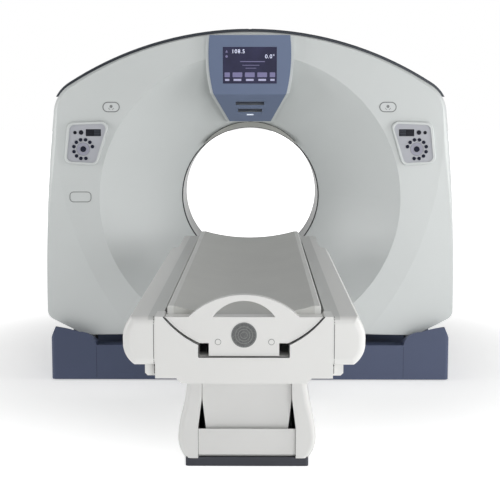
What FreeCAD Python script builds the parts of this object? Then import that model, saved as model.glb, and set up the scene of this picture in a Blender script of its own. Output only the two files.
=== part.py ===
import FreeCAD, Part

import math
import os

import Sketcher
from FreeCAD import Vector

# A computed tomography scanner: a tilting gantry with a patient bore, and a patient table in front of it.
# Millimetres. X runs across the gantry, Y runs from the foot of the table into the bore, Z is up.
# The origin lies on the floor, straight under the middle of the bore (the isocentre).

# ---------------------------------------------------------------- driving dimensions

DIMENSIONS = {
    # gantry, seen from the front; rises and drops are measured from the isocentre
    "iso_height": 900,
    "bore_radius": 350,
    "half_width": 1016,
    "top_rise": 819,
    "shoulder_inset": 60,
    "shoulder_rise": 514,
    "shoulder_radius": 165,
    "hip_drop": 590,
    "hip_radius": 50,
    "belly_inset": 185,
    "belly_drop": 682,
    "belly_radius": 60,
    "side_bow": 18,
    # gantry, seen from the side
    "face_depth": 490,
    "face_return": 90,
    "cover_wall": 12,
    "face_edge_radius": 45,
    "corner_slope": 7.5,
    "corner_start": 930,
    "corner_centre_rise": 205,
    "face_dome": 24,
    "throat_depth": 160,
    "dish_radius": 742,
    "dish_sag": 12,
    "rear_dish_radius": 700,
    "underside_end": 360,
    "band_thickness": 18,
    "band_rear": 300,
    "band_end_rise": 505,
    "band_edge_radius": 6,
    "band_notch_length": 30,
    # display panel and the raised nose that carries it
    "panel_top_rise": 800,
    "panel_half_width": 195,
    "panel_knee_rise": 521,
    "panel_knee_half_width": 178,
    "panel_bottom_rise": 383,
    "panel_bottom_half_width": 104,
    "panel_thickness": 9,
    "nose_margin": 14,
    "nose_depth": 494,
    "nose_bottom_depth": 250,
    "screen_half_width": 131,
    "screen_height": 176,
    "screen_rise": 655.5,
    "screen_recess": 4,
    "slot_height": 16,
    "slot_upper_rise": 473,
    "slot_upper_half": 70,
    "slot_lower_rise": 438,
    "slot_lower_half": 60,
    # light window over the bore
    "window_half_width": 235,
    "window_end_rise": 270,
    "window_top_rise": 379,
    "window_depth": 200,
    # control panels
    "control_inset": 205,
    "control_rise": 268,
    "control_margin": 13,
    "control_stand": 14,
    "control_plate_wall": 4,
    "control_plate_recess": 5,
    "control_flange": 9,
    "control_corner": 34,
    "plate_corner": 25,
    "key_middle_x": -5,
    "key_middle_rise": -18,
    "key_ring_radius": 47,
    "key_radius": 8.5,
    "centre_key_radius": 14,
    "round_key_radius": 11,
    "round_key_x": -14,
    "round_key_rise": 63,
    "key_bevel": 1.5,
    "key_flange": 2,
    "key_stand": 4,
    "key_travel": 1.5,
    # gantry frame and rotor
    "ring_half_width": 600,
    "ring_half_height": 580,
    "ring_corner": 120,
    "ring_front": 95,
    "ring_thickness": 60,
    "post_x": 560,
    "post_rise": 520,
    "post_radius": 16,
    "bearing_radius": 405,
    "bearing_wall": 35,
    "liner_wall": 3,
    "arm_inner": 655,
    "arm_outer": 800,
    "arm_half_height": 120,
    "arm_front": 70,
    "trunnion_radius": 45,
    "trunnion_tip": 915,
    "drum_inner": 362,
    "drum_radius": 640,
    "drum_plate": 35,
    "drum_rim_depth": 60,
    "drum_rim_wall": 12,
    "lightening_radius": 60,
    "tube_orbit": 530,
    "tube_radius": 95,
    "tube_length": 190,
    "tube_bevel": 18,
    "collimator_exit": 75,
    "collimator_entry": 30,
    "collimator_depth": 110,
    "collimator_setback": 20,
    "collimator_clearance": 30,
    "detector_inner": 400,
    "detector_outer": 500,
    "detector_depth": 105,
    "detector_half_angle": 28,
    "tank_inner": 420,
    "tank_outer": 610,
    "tank_depth": 140,
    "tank_half_angle": 17,
    "slip_inner": 560,
    "slip_outer": 630,
    "slip_setback": 20,
    "slip_groove": 8,
    # stanchions
    "stanchion_x": 865,
    "stanchion_wide": 60,
    "stanchion_half": 40,
    "stanchion_head": 95,
    "stanchion_foot": 200,
    "stanchion_flange": 8,
    "stanchion_relief": 16,
    # gantry base
    "foot_height": 15,
    "foot_radius": 45,
    "frame_thickness": 40,
    "frame_rib": 60,
    "pan_floor": 12,
    "base_half_width": 990,
    "base_depth": 520,
    "base_wall": 6,
    "base_skirt": 5,
    "base_seam": 764,
    "base_centre_height": 178,
    "base_step_run": 50,
    "base_step_drop": 30,
    "slot_margin": 65,
    "base_side_height": 270,
    "base_corner_height": 214,
    "base_corner_inset": 24,
    "base_edge_radius": 22,
    "sweep_radius": 836,
    "sweep_outer_radius": 785,
    "sweep_knee": 850,
    "anchor_x": 900,
    "anchor_y": 420,
    "anchor_hole": 9,
    "beam_half_width": 110,
    "beam_height": 20,
    # patient table, seen from its foot end
    "table_height": 750,
    "cradle_half_width": 236,
    "cradle_sag": 30,
    "cradle_edge": 25,
    "cradle_bead": 20,
    "runner_x": 200,
    "runner_wide": 12,
    "cradle_head": 530,
    "runner_setback": 30,
    "rail_top": 726,
    "groove_x": 248,
    "rail_flange": 50,
    "table_half_width": 343,
    "table_bulge": 369,
    "bulge_height": 645,
    "skirt_x": 335,
    "skirt_height": 575,
    "foot_edge_radius": 24,
    "side_wall": 8,
    "wide_start": 1040,
    "head_half_width": 318,
    "head_end": 520,
    "head_flange": 18,
    "head_corner": 16,
    "head_taper": 70,
    "end_step_x": 303,
    "end_step_height": 540,
    "table_foot": 2760,
    "foot_cover_depth": 100,
    "foot_cover_half": 270,
    "foot_cover_bottom": 536,
    "foot_lip_half": 190,
    "foot_lip_bottom": 520,
    "notch_half": 138,
    "notch_floor": 600,
    "notch_top": 640,
    "mouth_x": 245,
    "mouth_bow": 8,
    "frame_wall": 8,
    "channel_half": 142,
    "channel_floor": 575,
    "channel_top": 632,
    "wing_x": 246,
    "wing_height": 700,
    "beam_end": 800,
    "wing_setback": 20,
    "block_half": 107,
    "block_gap": 4,
    "block_setback": 6,
    "block_length": 54,
    "block_top_gap": 2,
    "handle_half": 187,
    "handle_rise": 89,
    "handle_base": 703,
    "handle_thickness": 30,
    "grip_half": 95,
    "grip_rise": 50,
    "grip_base": 724,
    # pedestal and lift
    "plinth_half": 234,
    "plinth_height": 35,
    "plinth_corner": 12,
    "plinth_front": 1925,
    "plinth_rear": 880,
    "plinth_anchor_x": 205,
    "plinth_anchor_front": 1840,
    "plinth_anchor_rear": 960,
    "leg_inner": 185,
    "leg_step_height": 150,
    "leg_neck_x": 170.5,
    "leg_neck_height": 262,
    "leg_top_x": 222,
    "leg_waist_x": 236,
    "leg_waist_height": 246,
    "leg_bulge_x": 261,
    "leg_bulge_height": 121,
    "leg_foot_x": 234,
    "leg_height": 350,
    "leg_front": 1940,
    "leg_rear": 885,
    "leg_edge_radius": 22,
    "panel_height": 144,
    "panel_gap_height": 45,
    "panel_setback": 18,
    "panel_wall": 6,
    "panel_kick": 14,
    "panel_lip": 10,
    "column_half": 140,
    "column_front": 1855,
    "column_rear": 950,
    "column_wall": 8,
    "column_clearance": 0.5,
    "lift_down": 285,
    "column_low": 40,
    "column_top_gap": 7,
    "shroud_top_half": 169,
    "shroud_bottom_half": 156,
    "shroud_bottom": 140,
    "shroud_knee": 252,
    "shroud_wall": 3,
    "shroud_front": 1903,
    "shroud_rear": 922,
    # fits
    "seat_gap": 0.3,
}

# how far cutting shapes run past the material
OVERSHOOT = 20

KEYS_ON_RING = 10
KEY_STEP = 30
KEY_START = 15

DOC = FreeCAD.newDocument("ct_scanner")
SHEET = DOC.addObject("Spreadsheet::Sheet", "Dims")
for row, (alias, number) in enumerate(DIMENSIONS.items(), start=1):
    SHEET.set(f"A{row}", alias)
    SHEET.set(f"B{row}", str(number))
    SHEET.setAlias(f"B{row}", alias)
DOC.recompute()


class Size:
    """A length or an angle, with the spreadsheet formula that gives it."""

    def __init__(self, value, formula):
        self.value = float(value)
        self.formula = formula

    def __add__(self, other):
        other = size(other)
        return Size(self.value + other.value, f"({self.formula} + {other.formula})")

    def __sub__(self, other):
        other = size(other)
        return Size(self.value - other.value, f"({self.formula} - {other.formula})")

    def __mul__(self, other):
        other = size(other)
        return Size(self.value * other.value, f"({self.formula} * {other.formula})")

    def __truediv__(self, other):
        other = size(other)
        return Size(self.value / other.value, f"({self.formula} / {other.formula})")

    def __neg__(self):
        return Size(-self.value, f"(-1 * {self.formula})")

    def __radd__(self, other):
        return size(other) + self

    def __rsub__(self, other):
        return size(other) - self

    def __rmul__(self, other):
        return size(other) * self


def size(number):
    """Any number as a Size."""
    return number if isinstance(number, Size) else Size(number, repr(float(number)))


def root(number):
    return Size(math.sqrt(number.value), f"sqrt({number.formula})")


def sine(angle):
    angle = size(angle)
    return Size(math.sin(math.radians(angle.value)), f"sin({angle.formula})")


def cosine(angle):
    angle = size(angle)
    return Size(math.cos(math.radians(angle.value)), f"cos({angle.formula})")


def tangent(angle):
    return sine(angle) / cosine(angle)


def sag_radius(half_chord, sag):
    """Radius of the arc that rises by sag over a chord of twice half_chord."""
    return (half_chord * half_chord + sag * sag) / (sag * 2)


class Dims:
    """The spreadsheet's cells by name."""

    def __getattr__(self, alias):
        return Size(float(SHEET.get(alias)), f"Dims.{alias}")


d = Dims()

# ---------------------------------------------------------------- drawing helpers


def new_body(name, x=None, y=None, z=None):
    """A body whose own origin lies at x, y, z."""
    body = DOC.addObject("PartDesign::Body", name)
    for axis, place in (("x", x), ("y", y), ("z", z)):
        if place is not None:
            body.setExpression(f"Placement.Base.{axis}", size(place).formula)
    return body


def new_sketch(body, name, plane, offset=0):
    """An empty sketch on one of the body's origin planes, moved along the plane's normal."""
    sketch = body.newObject("Sketcher::SketchObject", name)
    planes = [f for f in body.Origin.OriginFeatures if f.Role == plane]
    sketch.AttachmentSupport = [(planes[0], "")]
    sketch.MapMode = "FlatFace"
    sketch.setExpression("AttachmentOffset.Base.z", size(offset).formula)
    return sketch


def edge_between(start, end, radius):
    """An edge and which of its ends lies at start. A positive radius bulges to the right of the way."""
    first = Vector(start[0], start[1], 0)
    last = Vector(end[0], end[1], 0)
    if not radius:
        return Part.LineSegment(first, last), 1, 2
    along = last - first
    left = Vector(-along.y, along.x, 0).normalize()
    height = math.sqrt(radius * radius - (along.Length / 2) ** 2)
    centre = (first + last) * 0.5 + left * math.copysign(height, radius)
    turn_from, turn_to = (first, last) if radius > 0 else (last, first)
    begin = math.atan2(turn_from.y - centre.y, turn_from.x - centre.x)
    finish = math.atan2(turn_to.y - centre.y, turn_to.x - centre.x)
    if finish < begin:
        finish += 2 * math.pi
    circle = Part.Circle(centre, Vector(0, 0, 1), abs(radius))
    arc = Part.ArcOfCircle(circle, begin, finish)
    return (arc, 1, 2) if radius > 0 else (arc, 2, 1)


def pin(sketch, geometry, end, x, y):
    """Dimensions one point of a sketch from the sketch's origin."""
    for kind, place, axis in (("DistanceX", x, -2), ("DistanceY", y, -1)):
        if place.value == 0:
            sketch.addConstraint(Sketcher.Constraint("PointOnObject", geometry, end, axis))
            continue
        index = sketch.addConstraint(Sketcher.Constraint(kind, -1, 1, geometry, end, place.value))
        sketch.setExpression(f"Constraints[{index}]", place.formula)


def add_loop(sketch, points, side=1):
    """A closed outline through (x, y) or (x, y, radius of the edge to the next point).

    With side -1 the outline is mirrored across the sketch's vertical axis.
    """
    corners = [(size(p[0]) * side, size(p[1])) for p in points]
    radii = [size(p[2]) * side if len(p) > 2 else None for p in points]
    first = sketch.GeometryCount
    count = len(points)
    ends = []
    for i, (here, radius) in enumerate(zip(corners, radii)):
        there = corners[(i + 1) % count]
        edge, start, end = edge_between(
            (here[0].value, here[1].value),
            (there[0].value, there[1].value),
            radius.value if radius else 0,
        )
        sketch.addGeometry(edge, False)
        ends.append((start, end))
    for i in range(count):
        after = (i + 1) % count
        sketch.addConstraint(
            Sketcher.Constraint("Coincident", first + i, ends[i][1], first + after, ends[after][0])
        )
    for i, radius in enumerate(radii):
        pin(sketch, first + i, ends[i][0], *corners[i])
        if radius:
            length = radius if radius.value > 0 else -radius
            index = sketch.addConstraint(Sketcher.Constraint("Radius", first + i, length.value))
            sketch.setExpression(f"Constraints[{index}]", length.formula)


def add_circle(sketch, x, y, radius):
    index = sketch.GeometryCount
    x, y, radius = size(x), size(y), size(radius)
    centre = Vector(x.value, y.value, 0)
    sketch.addGeometry(Part.Circle(centre, Vector(0, 0, 1), radius.value), False)
    pin(sketch, index, 3, x, y)
    bound = sketch.addConstraint(Sketcher.Constraint("Radius", index, radius.value))
    sketch.setExpression(f"Constraints[{bound}]", radius.formula)


def rectangle(x0, y0, x1, y1):
    return [(x0, y0), (x1, y0), (x1, y1), (x0, y1)]


def rounded(points, radius):
    """A counter-clockwise outline of straight edges with every corner turned into an arc."""
    places = [Vector(x.value, z.value, 0) for x, z in points]
    outline = []
    for i, (x, z) in enumerate(points):
        back = (places[i - 1] - places[i]).normalize()
        ahead = (places[(i + 1) % len(points)] - places[i]).normalize()
        reach = size(radius) / math.tan(back.getAngle(ahead) / 2)
        outline.append((x + reach * back.x, z + reach * back.y, size(radius)))
        outline.append((x + reach * ahead.x, z + reach * ahead.y))
    return outline


def settle(feature):
    """Computes a new feature and stops the build if it failed."""
    DOC.recompute()
    if "Invalid" in feature.State or "Error" in feature.State or feature.Shape.isNull():
        raise ValueError(f"{feature.Name} failed: {feature.getStatusString()}")
    return feature


def pad(body, name, sketch, length, reverse=False):
    feature = body.newObject("PartDesign::Pad", name)
    feature.Profile = sketch
    feature.Reversed = reverse
    feature.setExpression("Length", size(length).formula)
    return settle(feature)


def cut(body, name, sketch, length, reverse=False):
    """A pocket that must take something away."""
    before = body.Tip.Shape.Volume
    feature = body.newObject("PartDesign::Pocket", name)
    feature.Profile = sketch
    feature.Reversed = reverse
    feature.setExpression("Length", size(length).formula)
    settle(feature)
    if feature.Shape.Volume >= before:
        raise ValueError(f"{name} cuts nothing")
    return feature


def turn(body, name, sketch, kind="PartDesign::Revolution", axis="V_Axis"):
    """Revolves a sketch about one of its axes, as a solid or, with a Groove, as a cut."""
    feature = body.newObject(kind, name)
    feature.Profile = sketch
    feature.ReferenceAxis = (sketch, [axis])
    feature.Angle = 360
    return settle(feature)


def dress_edges(body, kind, name, measure, length, wanted):
    """Adds a fillet or chamfer to the edges of the body's last feature that wanted(edge) picks."""
    base = body.Tip
    picked = [f"Edge{i}" for i, edge in enumerate(base.Shape.Edges, start=1) if wanted(edge)]
    feature = body.newObject(kind, name)
    feature.Base = (base, picked)
    feature.setExpression(measure, size(length).formula)
    return settle(feature)


def round_edges(body, name, radius, wanted):
    return dress_edges(body, "PartDesign::Fillet", name, "Radius", radius, wanted)


def bevel_edges(body, name, width, wanted):
    return dress_edges(body, "PartDesign::Chamfer", name, "Size", width, wanted)


def on_level(axis, level, tolerance=0.01):
    """True for an edge that lies wholly at one coordinate of the body."""
    level = size(level).value

    def test(edge):
        box = edge.BoundBox
        low, high = getattr(box, axis + "Min"), getattr(box, axis + "Max")
        return abs(low - level) < tolerance and abs(high - level) < tolerance

    return test


def along(axis):
    """True for a straight edge that runs along an axis."""

    def test(edge):
        box = edge.BoundBox
        spans = {"X": box.XLength, "Y": box.YLength, "Z": box.ZLength}
        length = spans.pop(axis)
        return length > 0.5 and max(spans.values()) < 0.01

    return test


def combine(kind, name, *shapes):
    """A boolean of several objects; for a cut, the first less each of the others."""
    if kind == "Part::Cut":
        result = shapes[0]
        for number, tool in enumerate(shapes[1:], start=1):
            last = number == len(shapes) - 1
            step = DOC.addObject(kind, name if last else f"{name}_step_{number}")
            step.Base = result
            step.Tool = tool
            result = step
    else:
        result = DOC.addObject(kind, name)
        result.Shapes = list(shapes)
    return settle(result)


def box_body(name, x0, x1, y0, y1, z0, z1):
    """A plain block between two corners."""
    body = new_body(name)
    sketch = new_sketch(body, name + "_plan", "XY_Plane", z0)
    add_loop(sketch, rectangle(x0, y0, x1, y1))
    pad(body, name + "_pad", sketch, size(z1) - z0)
    return body


NODES = {}


def node(name, piece):
    """Registers a finished piece under the name of its file."""
    piece.Label = name
    NODES[name] = piece
    return piece


# ---------------------------------------------------------------- gantry covers


def gantry_outline(inset=0):
    """The gantry's outline from the front, about the isocentre, moved in by inset.

    The shoulders are sharp here and are rounded by round_shoulders. The factors are how far each
    corner moves for a millimetre of inset.
    """
    inset = size(inset)
    shoulder_x = d.half_width - d.shoulder_inset - inset * 0.943
    shoulder_z = d.shoulder_rise - inset * 0.561
    hip_x = d.half_width - inset
    hip_z = -d.hip_drop + inset * 0.596
    belly_x = d.half_width - d.belly_inset - inset * 0.253
    belly_z = -d.belly_drop + inset
    arch = sag_radius(shoulder_x, d.top_rise - inset - shoulder_z)
    side = sag_radius((shoulder_z - hip_z) / 2, d.side_bow)
    return [
        (-belly_x, belly_z),
        (belly_x, belly_z),
        (hip_x, hip_z, side),
        (shoulder_x, shoulder_z, arch),
        (-shoulder_x, shoulder_z, side),
        (-hip_x, hip_z),
    ]


def round_shoulders(body, name, inset=0):
    """Rounds the two corners where the arch meets the sides."""
    inset = size(inset)
    level = d.shoulder_rise - inset * 0.561
    round_edges(body, name, d.shoulder_radius - inset, corners_at(level))


def corners_at(level):
    """True for the straight edges along Y at one height."""
    straight = along("Y")
    high = on_level("Z", level)
    return lambda edge: straight(edge) and high(edge)


def dish_profile(sketch, outer, face, behind=0):
    """Radius and depth of the space in front of a dish, and of the bore behind its throat.

    behind moves the dish surface back into the wall, and face is negative for the front dish.
    """
    sign = -1 if face.value < 0 else 1
    throat_r = d.bore_radius + d.liner_wall + d.seat_gap
    throat_y = d.throat_depth * sign - size(behind) * sign
    rim_r = outer + behind
    rim_y = face - size(behind) * 0.5 * sign
    chord = root((rim_r - throat_r) * (rim_r - throat_r) + (rim_y - throat_y) * (rim_y - throat_y))
    bend = sag_radius(chord / 2, d.dish_sag)
    before = face + OVERSHOOT * 6 * sign
    after = throat_y - OVERSHOOT * sign
    add_loop(
        sketch,
        [
            (0, after),
            (throat_r, after),
            (throat_r, throat_y, bend * (-sign)),
            (rim_r, rim_y),
            (rim_r, before),
            (0, before),
        ],
    )


def dish_backing(sketch, outer, face):
    """Radius and depth of the solid behind a dish, up to the middle of the face's wall."""
    sign = -1 if face.value < 0 else 1
    wall = d.cover_wall
    throat_r = d.bore_radius + d.liner_wall + d.seat_gap
    back_y = (d.throat_depth - wall) * sign
    far_r = outer + wall
    far_y = face - wall * 0.5 * sign
    chord = root((far_r - throat_r) * (far_r - throat_r) + (far_y - back_y) * (far_y - back_y))
    bend = sag_radius(chord / 2, d.dish_sag)
    add_loop(sketch, [(0, back_y), (throat_r, back_y, bend * (-sign)), (far_r, far_y), (0, far_y)])


def cover_shell(name, face, split, outer, *openings):
    """A moulded cover: rounded face, hollow behind, with a bowl that leads into the bore.

    face and split are the Y of the cover's face and of its open edge.
    """
    sign = -1 if face.value < 0 else 1
    depth = (face - split) * sign
    block = new_body(name + "_block", z=d.iso_height)
    outline = new_sketch(block, name + "_outline", "XZ_Plane", -split)
    add_loop(outline, gantry_outline())
    pad(block, name + "_pad", outline, depth, reverse=sign > 0)
    round_shoulders(block, name + "_shoulders")
    round_edges(block, name + "_hips", d.hip_radius, corners_at(-d.hip_drop))
    round_edges(block, name + "_belly", d.belly_radius, corners_at(-d.belly_drop))
    round_edges(block, name + "_edge", d.face_edge_radius, on_level("Y", face))

    cavity = new_body(name + "_cavity", z=d.iso_height)
    hollow = new_sketch(cavity, name + "_hollow", "XZ_Plane", -split + sign)
    add_loop(hollow, gantry_outline(d.cover_wall))
    pad(cavity, name + "_hollow_pad", hollow, (inner_wall() * sign - split) * sign + 1, reverse=sign > 0)
    round_shoulders(cavity, name + "_inner_shoulders", d.cover_wall)
    shell = combine("Part::Cut", name + "_shell", block, cavity)

    bowl = new_body(name + "_bowl", z=d.iso_height)
    backing = new_sketch(bowl, name + "_backing", "XY_Plane")
    dish_backing(backing, outer, face)
    turn(bowl, name + "_backing_turn", backing)
    joined = combine("Part::MultiFuse", name + "_joined", shell, bowl)

    space = new_body(name + "_space", z=d.iso_height)
    inside = new_sketch(space, name + "_inside", "XY_Plane")
    dish_profile(inside, outer, face)
    turn(space, name + "_inside_turn", inside)
    corners = corner_cone(name + "_corners", face)
    dome = face_dome(name + "_dome", face)
    notch = stanchion_notch(name + "_notch", split, face)
    below = belly_trim(name + "_below", face)
    return combine("Part::Cut", name, joined, space, dome, corners, notch, below, *openings)


def inner_wall():
    """How far the inner surface of the face lies from the middle of the gantry."""
    return d.face_depth - d.face_edge_radius - d.cover_wall


def corner_cone(name, face):
    """What is cleared from the face so that it slopes back toward the lower corners."""
    sign = -1 if face.value < 0 else 1
    body = new_body(name, z=d.iso_height + d.corner_centre_rise)
    section = new_sketch(body, name + "_section", "XY_Plane")
    reach = d.half_width * 1.4
    drop = (reach - d.corner_start) * tangent(d.corner_slope)
    add_loop(
        section,
        [
            (d.corner_start, face),
            (reach, face - drop * sign),
            (reach, face + drop * sign),
            (d.corner_start, face + drop * sign),
        ],
    )
    turn(body, name + "_turn", section)
    return body


def face_dome(name, face):
    """What is cleared from the face so that it curves back above and below the bore.

    It takes a skim off the flat face everywhere, because a tangent cut can fail.
    """
    sign = -1 if face.value < 0 else 1
    body = new_body(name, z=d.iso_height)
    side_reach = d.half_width + OVERSHOOT
    profile = new_sketch(body, name + "_profile", "YZ_Plane", -side_reach)
    reach = d.top_rise + OVERSHOOT
    skim = d.seat_gap
    ends = face - (d.face_dome + skim) * sign
    far = face + d.cover_wall * sign
    add_loop(
        profile,
        [
            (ends, -reach, sag_radius(reach, d.face_dome) * sign),
            (ends, reach),
            (far, reach),
            (far, -reach),
        ],
    )
    pad(body, name + "_pad", profile, side_reach * 2)
    return body


def belly_trim(name, face):
    """What is cleared under the belly, with a slanted corner just outside the cover's rounded edge."""
    sign = -1 if face.value < 0 else 1
    body = new_body(name, z=d.iso_height)
    reach = d.half_width + OVERSHOOT
    profile = new_sketch(body, name + "_profile", "YZ_Plane", -reach)
    corner = d.face_edge_radius * (2 - math.sqrt(2)) - 0.7
    far = face + d.face_return * sign
    level = -d.belly_drop
    add_loop(
        profile,
        [
            (0, level),
            (face - corner * sign, level),
            (face, level + corner),
            (far, level + corner),
            (far, level - d.face_return),
            (0, level - d.face_return),
        ],
    )
    pad(body, name + "_pad", profile, reach * 2)
    return body


def stanchion_notch(name, split, face):
    """What is cleared from the lower edge of a cover where the stanchions pass."""
    sign = -1 if face.value < 0 else 1
    body = new_body(name, z=d.iso_height)
    sketch = new_sketch(body, name + "_outline", "XZ_Plane", -split + sign)
    inner = d.stanchion_x - d.stanchion_wide * 0.75
    outer = d.stanchion_x + d.stanchion_wide * 0.75
    for side in (1, -1):
        add_loop(sketch, rectangle(inner, -d.belly_drop - OVERSHOOT, outer, -d.hip_drop), side)
    depth = inner_wall() - split * sign + d.cover_wall
    pad(body, name + "_pad", sketch, depth, reverse=sign > 0)
    return body


def control_corners(margin=0):
    """Corners of a control panel about its middle, for the left side of the gantry."""
    margin = size(margin)
    return [
        (-88 - margin, -78 - margin * 0.8),
        (54 + margin * 0.8, -86 - margin),
        (116 + margin, 107 + margin),
        (-68 - margin, 99 + margin),
    ]


def control_outline(margin, radius):
    """The outline of a control panel with rounded corners, for the left side of the gantry."""
    x, z = control_place()
    return rounded([(x + px, z + pz) for px, pz in control_corners(margin)], radius)


def control_place():
    """X and rise of the middle of the left control panel."""
    return d.control_inset - d.half_width, d.control_rise


def front_cover():
    """The face of the gantry with its dish, the nose for the display and two control windows."""
    face = -d.face_depth
    split = face + d.face_return
    windows = new_body("control_windows", z=d.iso_height)
    sketch = new_sketch(windows, "control_window_outline", "XZ_Plane", -split - 1)
    gap = d.seat_gap
    for side in (1, -1):
        add_loop(sketch, control_outline(d.control_margin + gap, d.control_corner + gap), side)
    pad(windows, "control_window_pad", sketch, d.face_return + d.face_edge_radius)
    shell = cover_shell("front_shell", face, split, d.dish_radius, windows)
    return combine("Part::MultiFuse", "front_cover", shell, display_nose())


def nose_outline(margin):
    """The display panel from the front, about the isocentre, grown by margin."""
    return [
        (-d.panel_bottom_half_width - margin, d.panel_bottom_rise - margin * 0.2),
        (d.panel_bottom_half_width + margin, d.panel_bottom_rise - margin * 0.2),
        (d.panel_knee_half_width + margin, d.panel_knee_rise, d.panel_knee_rise * 1.5),
        (d.panel_half_width + margin, d.panel_top_rise + margin * 0.3),
        (-d.panel_half_width - margin, d.panel_top_rise + margin * 0.3, d.panel_knee_rise * 1.5),
        (-d.panel_knee_half_width - margin, d.panel_knee_rise),
    ]


def nose_side(back, lift):
    """The display panel from the side: an upright face and a lower face that leans into the bore."""
    top = d.panel_top_rise + OVERSHOOT * 2
    low = d.panel_bottom_rise - OVERSHOOT
    run = d.panel_knee_rise - d.panel_bottom_rise
    lean = (d.nose_depth - d.nose_bottom_depth) / run
    low_y = -d.nose_bottom_depth + OVERSHOOT * lean
    rise = root(lean * lean + 1)
    return [
        (-d.nose_depth - lift, top),
        (-d.nose_depth - lift, d.panel_knee_rise - lift * (rise - 1) / lean),
        (low_y - lift * rise, low),
        (back, low),
        (back, top),
    ]


def display_nose():
    """The white raised block on the face that carries the display panel."""
    sides = new_body("nose_sides", z=d.iso_height)
    profile = new_sketch(sides, "nose_profile", "YZ_Plane", -d.half_width / 2)
    add_loop(profile, nose_side(-d.throat_depth, 0))
    pad(sides, "nose_profile_pad", profile, d.half_width)
    front = new_body("nose_front", z=d.iso_height)
    outline = new_sketch(front, "nose_outline", "XZ_Plane", d.throat_depth)
    add_loop(outline, nose_outline(d.nose_margin))
    pad(front, "nose_outline_pad", outline, d.face_depth)
    space = new_body("nose_space", z=d.iso_height)
    section = new_sketch(space, "nose_section", "XY_Plane")
    dish_profile(section, d.dish_radius, -d.face_depth, d.cover_wall * 0.5)
    turn(space, "nose_section_turn", section)
    plate = new_body("nose_plate", z=d.iso_height)
    plate_back = inner_wall() + d.cover_wall
    plate_outline = new_sketch(plate, "nose_plate_outline", "XZ_Plane", plate_back)
    add_loop(plate_outline, gantry_outline(d.cover_wall * 0.7))
    pad(plate, "nose_plate_pad", plate_outline, d.face_depth - plate_back + d.cover_wall)
    room = combine("Part::MultiFuse", "nose_room", space, plate)
    return combine("Part::MultiCommon", "display_nose", sides, front, room)


def display_panel():
    """The coloured panel on the nose, with a recess for the screen and two slots below it."""
    thick = new_body("bezel_sides", z=d.iso_height)
    profile = new_sketch(thick, "bezel_profile", "YZ_Plane", -d.half_width / 2)
    add_loop(profile, nose_side(-d.throat_depth, d.panel_thickness))
    pad(thick, "bezel_profile_pad", profile, d.half_width)
    back = new_body("bezel_back", z=d.iso_height)
    back_profile = new_sketch(back, "bezel_back_profile", "YZ_Plane", -d.half_width / 2)
    add_loop(back_profile, nose_side(-d.throat_depth + 1, 0))
    pad(back, "bezel_back_pad", back_profile, d.half_width)
    front = new_body("bezel_front", z=d.iso_height)
    outline = new_sketch(front, "bezel_outline", "XZ_Plane", d.throat_depth + 2)
    add_loop(outline, nose_outline(size(0)))
    pad(front, "bezel_outline_pad", outline, d.face_depth)
    recess = new_sketch(front, "bezel_recess", "XZ_Plane", screen_floor())
    half = d.screen_height / 2
    low, high = d.screen_rise - half, d.screen_rise + half
    add_loop(recess, rectangle(-d.screen_half_width, low, d.screen_half_width, high))
    cut(front, "bezel_recess_cut", recess, d.face_depth, reverse=True)
    slots = new_sketch(front, "bezel_slots", "XZ_Plane", d.throat_depth + 2)
    half_slot = d.slot_height / 2
    upper, lower = d.slot_upper_half, d.slot_lower_half
    for half_width, rise in ((upper, d.slot_upper_rise), (lower, d.slot_lower_rise)):
        add_loop(slots, rectangle(-half_width, rise - half_slot, half_width, rise + half_slot))
    cut(front, "bezel_slot_cut", slots, d.face_depth * 2, reverse=True)
    body = combine("Part::MultiCommon", "bezel_block", thick, front)
    return combine("Part::Cut", "display_bezel", body, back)


def screen_floor():
    """Depth of the floor of the screen's recess."""
    return d.nose_depth + d.panel_thickness - d.screen_recess


def display_screen():
    """The glass of the display, in the panel's recess."""
    body = new_body("display_screen", z=d.iso_height)
    sketch = new_sketch(body, "screen_outline", "XZ_Plane", screen_floor())
    half = d.screen_height / 2 - d.seat_gap
    side = d.screen_half_width - d.seat_gap
    add_loop(sketch, rectangle(-side, d.screen_rise - half, side, d.screen_rise + half))
    pad(body, "screen_glass", sketch, d.screen_recess - 1)
    return body


def light_window():
    """The crescent lens over the bore that the alignment light shines through."""
    body = new_body("window_block", z=d.iso_height)
    sketch = new_sketch(body, "window_outline", "XZ_Plane", d.throat_depth)
    half = d.window_half_width
    sag = d.window_top_rise - d.window_end_rise
    lip = d.bore_radius + d.liner_wall + d.seat_gap
    end_rise = root(lip * lip - half * half)
    add_loop(
        sketch,
        [
            (-half, end_rise, -lip),
            (half, end_rise),
            (half, d.window_end_rise, sag_radius(half, sag)),
            (-half, d.window_end_rise),
        ],
    )
    pad(body, "window_pad", sketch, d.window_depth - d.throat_depth)
    front = new_body("window_front", z=d.iso_height)
    section = new_sketch(front, "window_front_section", "XY_Plane")
    dish_profile(section, d.dish_radius, -d.face_depth, -d.seat_gap)
    turn(front, "window_front_turn", section)
    return combine("Part::MultiCommon", "laser_window", body, front)


def rear_cover():
    """The back half of the gantry's housing, open below for the stanchions."""
    split = -d.face_depth + d.face_return
    below = new_body("open_below", z=d.iso_height)
    sketch = new_sketch(below, "open_below_outline", "XZ_Plane", -split + 1)
    reach = d.half_width + OVERSHOOT
    add_loop(sketch, rectangle(-reach, -d.belly_drop - OVERSHOOT, reach, -d.hip_drop - 4))
    pad(below, "open_below_pad", sketch, d.underside_end - split + 1, reverse=True)
    return cover_shell("rear_cover_shell", d.face_depth, split, d.rear_dish_radius, below)


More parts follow.
